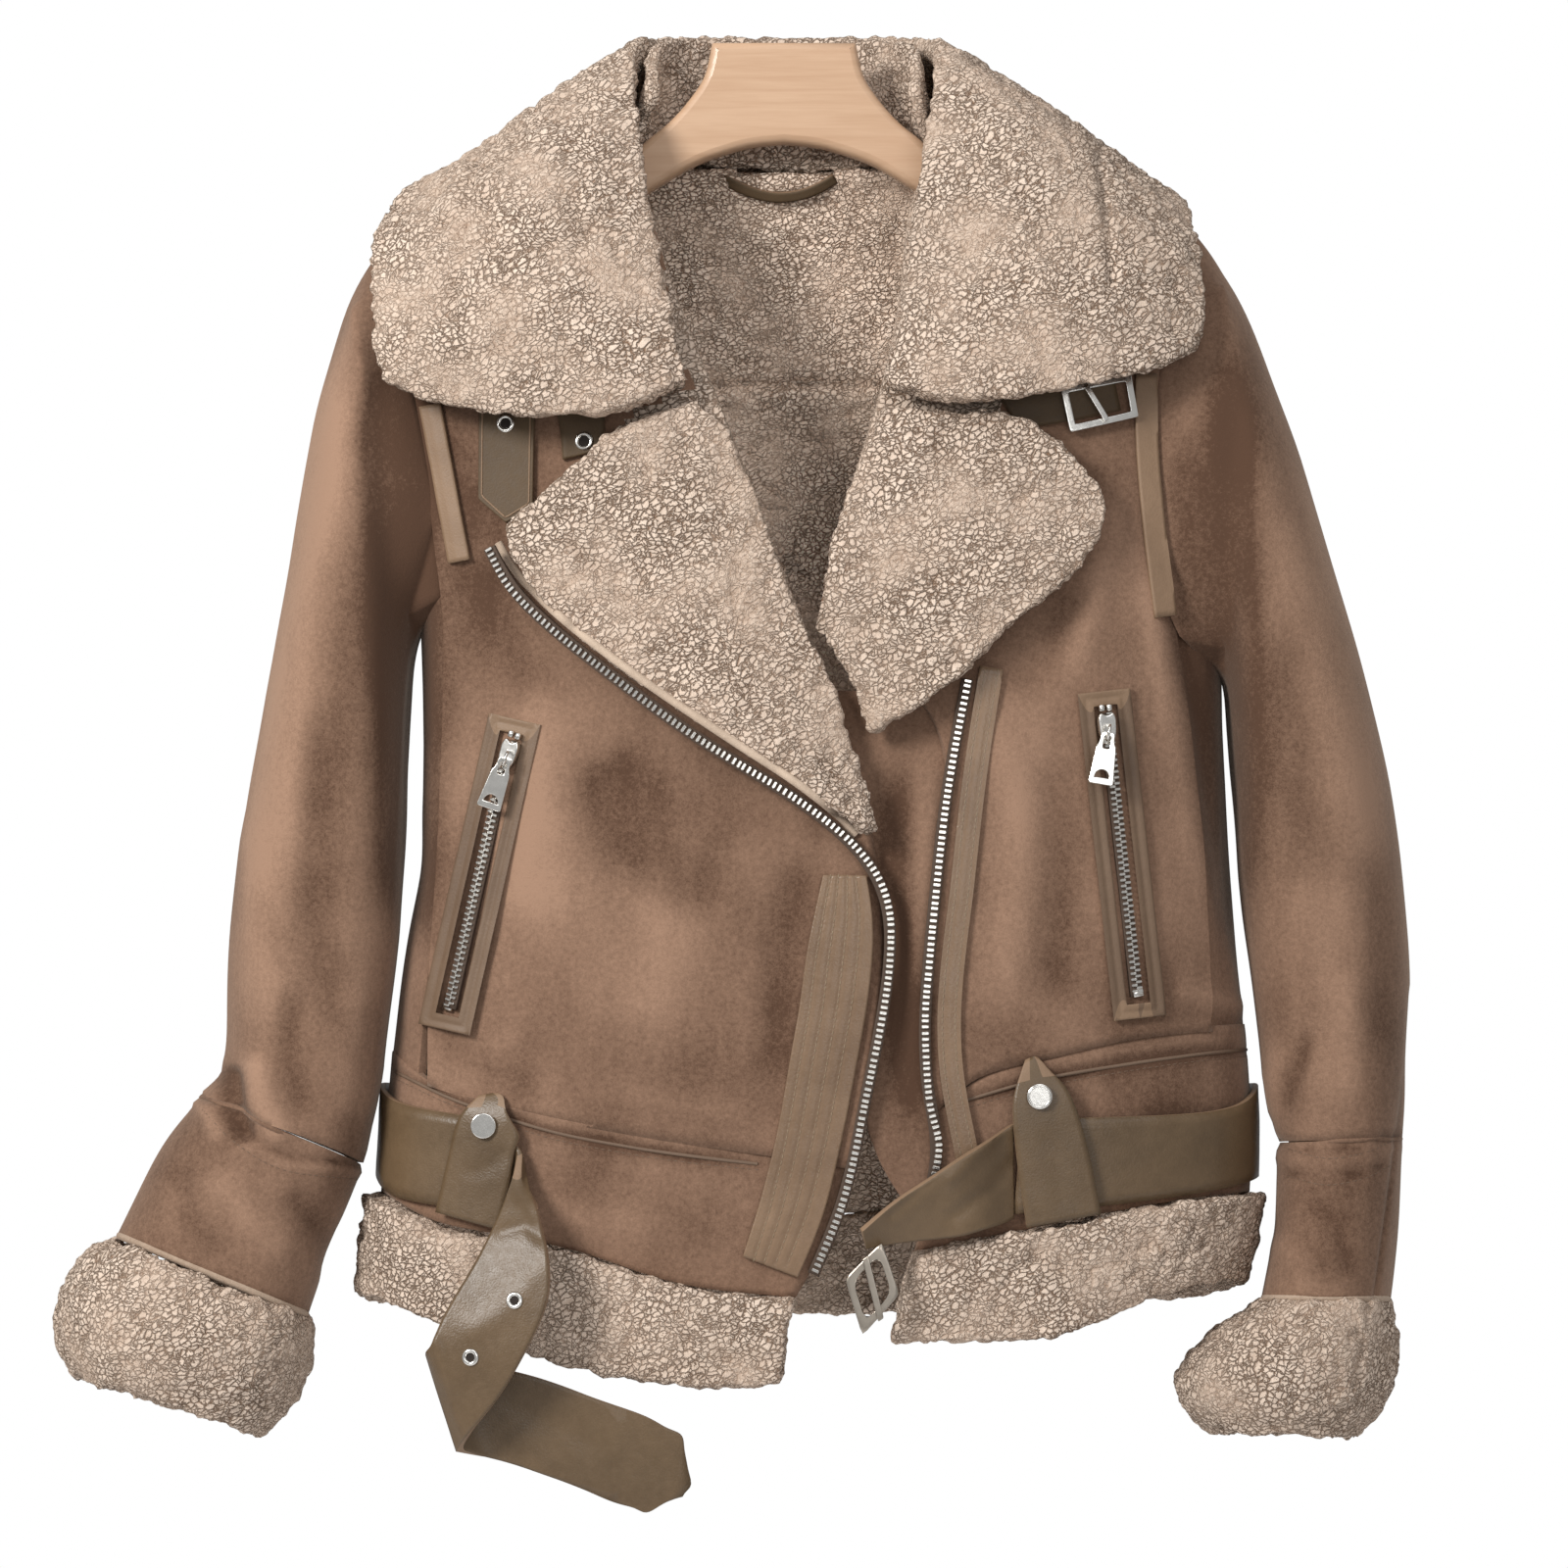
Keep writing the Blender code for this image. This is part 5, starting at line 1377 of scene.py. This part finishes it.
# %% The pale binding between the teeth and the lapel
BINDING = [(508, 553), (530, 588), (568, 626), (610, 660), (660, 697), (710, 731), (760, 764),
           (806, 794), (846, 824), (874, 852)]
BINDING_SKINS = ["furry_right_lapel", "dressed_right_front"]
bind_at = [place.translation for place in walk(BINDING, 3.0, BINDING_SKINS)]
binding = tube([tuple(spot) for spot in smooth_line(bind_at[::4] + bind_at[-1:], 0.002)], 0.0022)
store(binding, "fold", np.full(len(binding.vertices), 0.95))
add_piece("lapel_binding", binding, pale_suede, "suede")
print("binding points:", len(binding.vertices))

# %% [markdown]
# ## Sliders, tabs, buckles and snaps
# Flat metal starts as an outline with its holes, given a thickness and a rounded edge. The tab
# hangs by a bar inside the slider's bridge, with room to swing, so it rides on its own body.

# %% Outlines cut from metal or wood
def cut_out(outlines, thick, edge):
    """A flat piece from closed outlines in millimetres, the inner ones being holes."""
    curve = bpy.data.curves.new("flat", "CURVE")
    curve.dimensions = "2D"
    curve.fill_mode = "BOTH"
    curve.extrude = (thick / 2 - edge) * MM
    curve.bevel_depth = edge * MM
    curve.offset = -edge * MM
    curve.bevel_resolution = 2
    for outline in outlines:
        spline = curve.splines.new("POLY")
        spline.points.add(len(outline) - 1)
        for spot, (x, y) in zip(spline.points, outline):
            spot.co = (x * MM, y * MM, 0.0, 1.0)
        spline.use_cyclic_u = True
    return settled(new_object("flat", curve))


def rounded(corners, radius, steps=5):
    """A closed outline whose corners are rounded."""
    made = []
    count = len(corners)
    for k in range(count):
        before, here, after = [Vector(corners[(k + j) % count]) for j in (-1, 0, 1)]
        near = min(radius, (before - here).length / 2.05, (after - here).length / 2.05)
        a = here + (before - here).normalized() * near
        b = here + (after - here).normalized() * near
        for i in range(steps + 1):
            t = i / steps
            made.append(tuple(a * (1 - t) ** 2 + here * 2 * t * (1 - t) + b * t ** 2))
    return made


def circle(radius, count=32):
    turns = [2 * math.pi * k / count for k in range(count)]
    return [(radius * math.cos(t), radius * math.sin(t)) for t in turns]


def facing(pixel, toward, names, depth=0.0):
    """The matrix at a pixel whose y runs to a second pixel, sunk below the surface."""
    here, there = touch(pixel, names), touch(toward, names)
    normal = (here[1] + there[1]).normalized()
    return axes(here[0] - normal * depth * MM, there[0] - here[0], normal)


def put(name, mesh, matrix, finish, slot, **more):
    mesh.transform(matrix)
    return add_piece(name, mesh, finish, slot, **more)


print("flat metal can be cut")

# %% The outer throat strap, with its pointed end
STRAP_OUTLINE = [(487, 396), (547, 400), (546, 519), (517, 534), (487, 509)]
STRAP_MIDDLE, STRAP_BELOW = (516, 460), (516, 480)


def make_pointed_strap(node):
    at = facing(STRAP_MIDDLE, STRAP_BELOW, [node], 1.0)
    back = at.inverted()
    corners = [back @ point_at(pixel, at.translation.y) for pixel in STRAP_OUTLINE]
    outline = rounded([(corner.x / MM, corner.y / MM) for corner in corners], 1.5)
    ridge = rounded([(0.86 * x, 0.93 * y) for x, y in outline[::2]], 1.0, 1)
    put("sewn_" + node, cut_out([outline], 2.0, 0.6), at, strap_leather, "leather",
        stands_for=(node,))
    edge = [(*point, 1.0 * MM) for point in (np.array(ridge) * MM)]
    put("strap_edge", tube(edge, 0.0005, closed=True), at, edge_leather, "leather")
    print("pointed strap:", len(outline), "points round it")


make_pointed_strap("right_throat_strap_outer")

# %% Sliders and tabs
SLIDERS = {
    # middle, then a place further down the zip, in pixels
    "right": ((517, 770), (513, 783)),
    "left": ((1131, 743), (1132, 756)),
}
TABS = {
    # near the hinge, near the tip, in pixels
    "right": ((515, 776), (499, 822)),
    "left": ((1131, 749), (1123.5, 797)),
}
TAB_THICK, TAB_NEAR_HINGE = 2.0, 1.0
SLIDER_SHAPE = [(-4.7, -5.0), (-3.4, -8.2), (-1.0, -6.6), (1.0, -6.6), (3.4, -8.2), (4.7, -5.0),
                (4.4, 2.0), (2.8, 8.2), (-2.8, 8.2), (-4.4, 2.0)]
TAB_SHAPE = [(-3.4, 0.0), (3.4, 0.0), (3.5, 4.5), (5.0, 8.0), (6.4, 26.9), (-6.4, 26.9),
             (-5.0, 8.0), (-3.5, 4.5)]
TAB_SLOT = [(-1.8, 1.9), (1.8, 1.9), (1.8, 8.6), (-1.8, 8.6)]
MOON_RADIUS, MOON_DOWN = 3.7, 23.6
BRIDGE_RADIUS = 3.9
turns = np.linspace(math.radians(-42), math.radians(222), 18)
arch = [(0, BRIDGE_RADIUS * math.cos(t) * MM, BRIDGE_RADIUS * math.sin(t) * MM) for t in turns]
moon = [(MOON_RADIUS * math.cos(t), MOON_DOWN - MOON_RADIUS * 1.15 * math.sin(t))
        for t in np.linspace(0.0, math.pi, 14)]

for side, (middle, below) in SLIDERS.items():
    node = side + "_pocket_slider"
    at = facing(middle, below, [node])
    lower = at @ Matrix.Translation((0, 0, -0.0024))
    put(side + "_slider", cut_out([rounded(SLIDER_SHAPE, 1.6)], 4.6, 0.8), lower, nickel,
        "nickel", stands_for=(node,))
    stops = [at @ Matrix.Translation((x * MM, -0.0105, -0.0028)) for x in (-2.0, 2.0)]
    add_piece(side + "_top_stops", copies(tooth_template(3.2, 2.6, 3.0), stops), nickel, "nickel")

for side, (hinge, tip) in TABS.items():
    node = side + "_pocket_pull"
    at = facing(hinge, tip, [node], 1.1) @ Matrix.Translation((0, -TAB_NEAR_HINGE * MM, 0))
    plate = cut_out([rounded(TAB_SHAPE, 1.5), rounded(TAB_SLOT, 1.4), moon], TAB_THICK, 0.4)
    put(side + "_tab", plate, at, nickel, "nickel", stands_for=(node,), body=side + "_pull")
    put(side + "_bridge", tube(arch, 0.0008, sides=3), at, nickel, "nickel")
    print(side, "tab swings about", [round(c, 4) for c in at.translation])

# %% Buckles, snaps, eyelets and end stops
def ring_of(radius, height, count):
    """Points round a ring in metres, from a radius and a height in millimetres."""
    return [(radius * MM * math.cos(t), radius * MM * math.sin(t), height * MM)
            for t in np.linspace(0, 2 * math.pi, count, endpoint=False)]


for node in ("throat_buckle", "belt_buckle", "throat_buckle_prong", "belt_buckle_prong"):
    finish = antique if "belt" in node else nickel
    add_piece("polished_" + node, finer(node, 3, crease=0.55), finish, "nickel", (node,))

SNAPS = {"right": (493, 1149), "left": (1061, 1119)}
for side, pixel in SNAPS.items():
    node = side + "_snap"
    at = facing(pixel, (pixel[0], pixel[1] + 6), [node], 0.9)
    put(side + "_snap_cap", cut_out([circle(6.5)], 1.8, 0.6), at, nickel, "nickel",
        stands_for=(node,))
    if side == "left":
        rim = tube(ring_of(5.4, 0.9, 40), 0.0005, closed=True)
        put(side + "_snap_rim", rim, at, nickel, "nickel")

EYELETS = {
    # pixel, piece it is set in, radius
    "throat_outer": ((516, 432), "sewn_right_throat_strap_outer", 3.7),
    "throat_inner": ((596, 450), "sewn_right_throat_strap_inner", 3.7),
    "tail_upper": ((525, 1327), "sewn_belt_tail", 3.2),
    "tail_lower": ((480, 1385), "sewn_belt_tail", 3.2),
}
for name, (pixel, skin, radius) in EYELETS.items():
    at = facing(pixel, (pixel[0], pixel[1] + 5), [skin])
    ring = tube(ring_of(radius, 0.0, 36), 0.0012, closed=True, sides=3)
    put("eyelet_" + name, ring, at, nickel, "nickel")
    # A dark disc fills each eyelet: painted shade for the depth of the hole.
    put("hole_" + name, cut_out([circle(radius)], 0.5, 0.1), at, dark_hole, "leather")

END_STOPS = {"right": ((459, 1027), (458, 1033)), "left": ((1160, 1013), (1161, 1019))}
stops = [facing(a, b, BODY_SKINS, -1.8) for a, b in END_STOPS.values()]
add_piece("end_stops", copies(tooth_template(4.0, 5.6, 2.0), stops), nickel, "nickel")
print("metal pieces are on")

# %% [markdown]
# ## The hanger
# The neck has a flat top, an arch flares out under the collar, and two arms run to the shoulders
# inside. It is one board 15 mm thick with rounded edges.

# %% Hanger
HANGER_TOP = [(36.5, 0), (40.5, 17), (49, 30), (59, 41), (69, 49), (82, 60), (105, 67.5),
              (135, 77.2), (165, 87.2), (184, 94.5)]
HANGER_FOOT = [(184, 110), (165, 109), (135, 101), (105, 91), (82, 83), (69, 76), (49, 64),
               (36.5, 58.5), (18, 53), (0, 51)]
NEARER = 1.03
HANGER_THICK, HANGER_EDGE = 15.0, 4.0


def make_hanger():
    half = np.concatenate([smooth_line(HANGER_TOP, 3.0), smooth_line(HANGER_FOOT, 4.0)])
    half *= NEARER
    whole = [(x, -down) for x, down in half] + [(-x, -down) for x, down in half[::-1]][1:]
    mesh = cut_out([whole], HANGER_THICK, HANGER_EDGE)
    return put("wooden_hanger", mesh, Matrix.Rotation(math.pi / 2, 4, "X"), wood, "wood",
               stands_for=("hanger",))


print("hanger points:", len(make_hanger().data.vertices))

# %% [markdown]

# %% [markdown]
# ## Room and light
# The jacket is pictured in a pale room. A large window light stands high on the left, a weak one
# behind the camera and another above fill the shade, and a white world lights the rest. The floor
# is far below, so that nothing but the jacket is in the picture.

# %% Room
def make_room():
    floor = bpy.data.meshes.new("floor")
    half, low = 1.15, -1.35
    floor.from_pydata([(-half, -half, low), (half, -half, low), (half, half, low), (-half, half, low)],
                      [], [(0, 1, 2, 3)])
    made = new_object("floor", floor)
    pale = Finish("pale_floor")
    pale["Base Color"] = (0.85, 0.85, 0.86, 1)
    pale["Roughness"] = 0.9
    floor.materials.append(pale.material)


def area_light(name, place, aim, size, power, colour):
    light = bpy.data.lights.new(name, "AREA")
    light.shape, light.size, light.energy, light.color = "DISK", size, power, colour
    made = bpy.data.objects.new(name, light)
    made.location = place
    made.rotation_euler = (Vector(aim) - Vector(place)).to_track_quat("-Z", "Y").to_euler()
    bpy.context.scene.collection.objects.link(made)


AMBIENT = 0.38


def light_world():
    world = bpy.data.worlds.new("room")
    world.use_nodes = True
    bpy.context.scene.world = world
    tree = world.node_tree
    seen = Value(tree, tree.nodes.new("ShaderNodeLightPath").outputs["Is Camera Ray"])
    background = tree.nodes["Background"]
    background.inputs["Color"].default_value = (1.0, 1.0, 1.0, 1.0)
    strength = seen * (1 - AMBIENT) + AMBIENT
    tree.links.new(strength.socket, background.inputs["Strength"])


LIGHTS = {
    # place and what it aims at in metres, size, power, colour
    "window": ((-1.5, -1.7, 0.6), (0, 0, -0.4), 0.8, 52.0, (1.0, 0.985, 0.96)),
    "front": ((0.5, -2.3, -0.2), (0, 0, -0.3), 1.0, 7.0, (1.0, 1.0, 1.0)),
    "sky": ((0.4, -1.3, 1.2), (0, 0, -0.4), 1.6, 10.0, (0.97, 0.98, 1.0)),
}
make_room()
light_world()
for name, row in LIGHTS.items():
    area_light(name, *row)
bpy.context.scene.view_settings.view_transform = "Standard"
print("lights:", len(bpy.data.lights))

# %% Size, and the end
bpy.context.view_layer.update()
counts = {thing.name: sum(len(face.vertices) - 2 for face in thing.data.polygons)
          for thing in bpy.context.scene.objects if thing.type == "MESH" and not thing.hide_render}
for name in sorted(counts, key=counts.get)[-12:]:
    print(name, counts[name])
print("triangles in all:", sum(counts.values()))
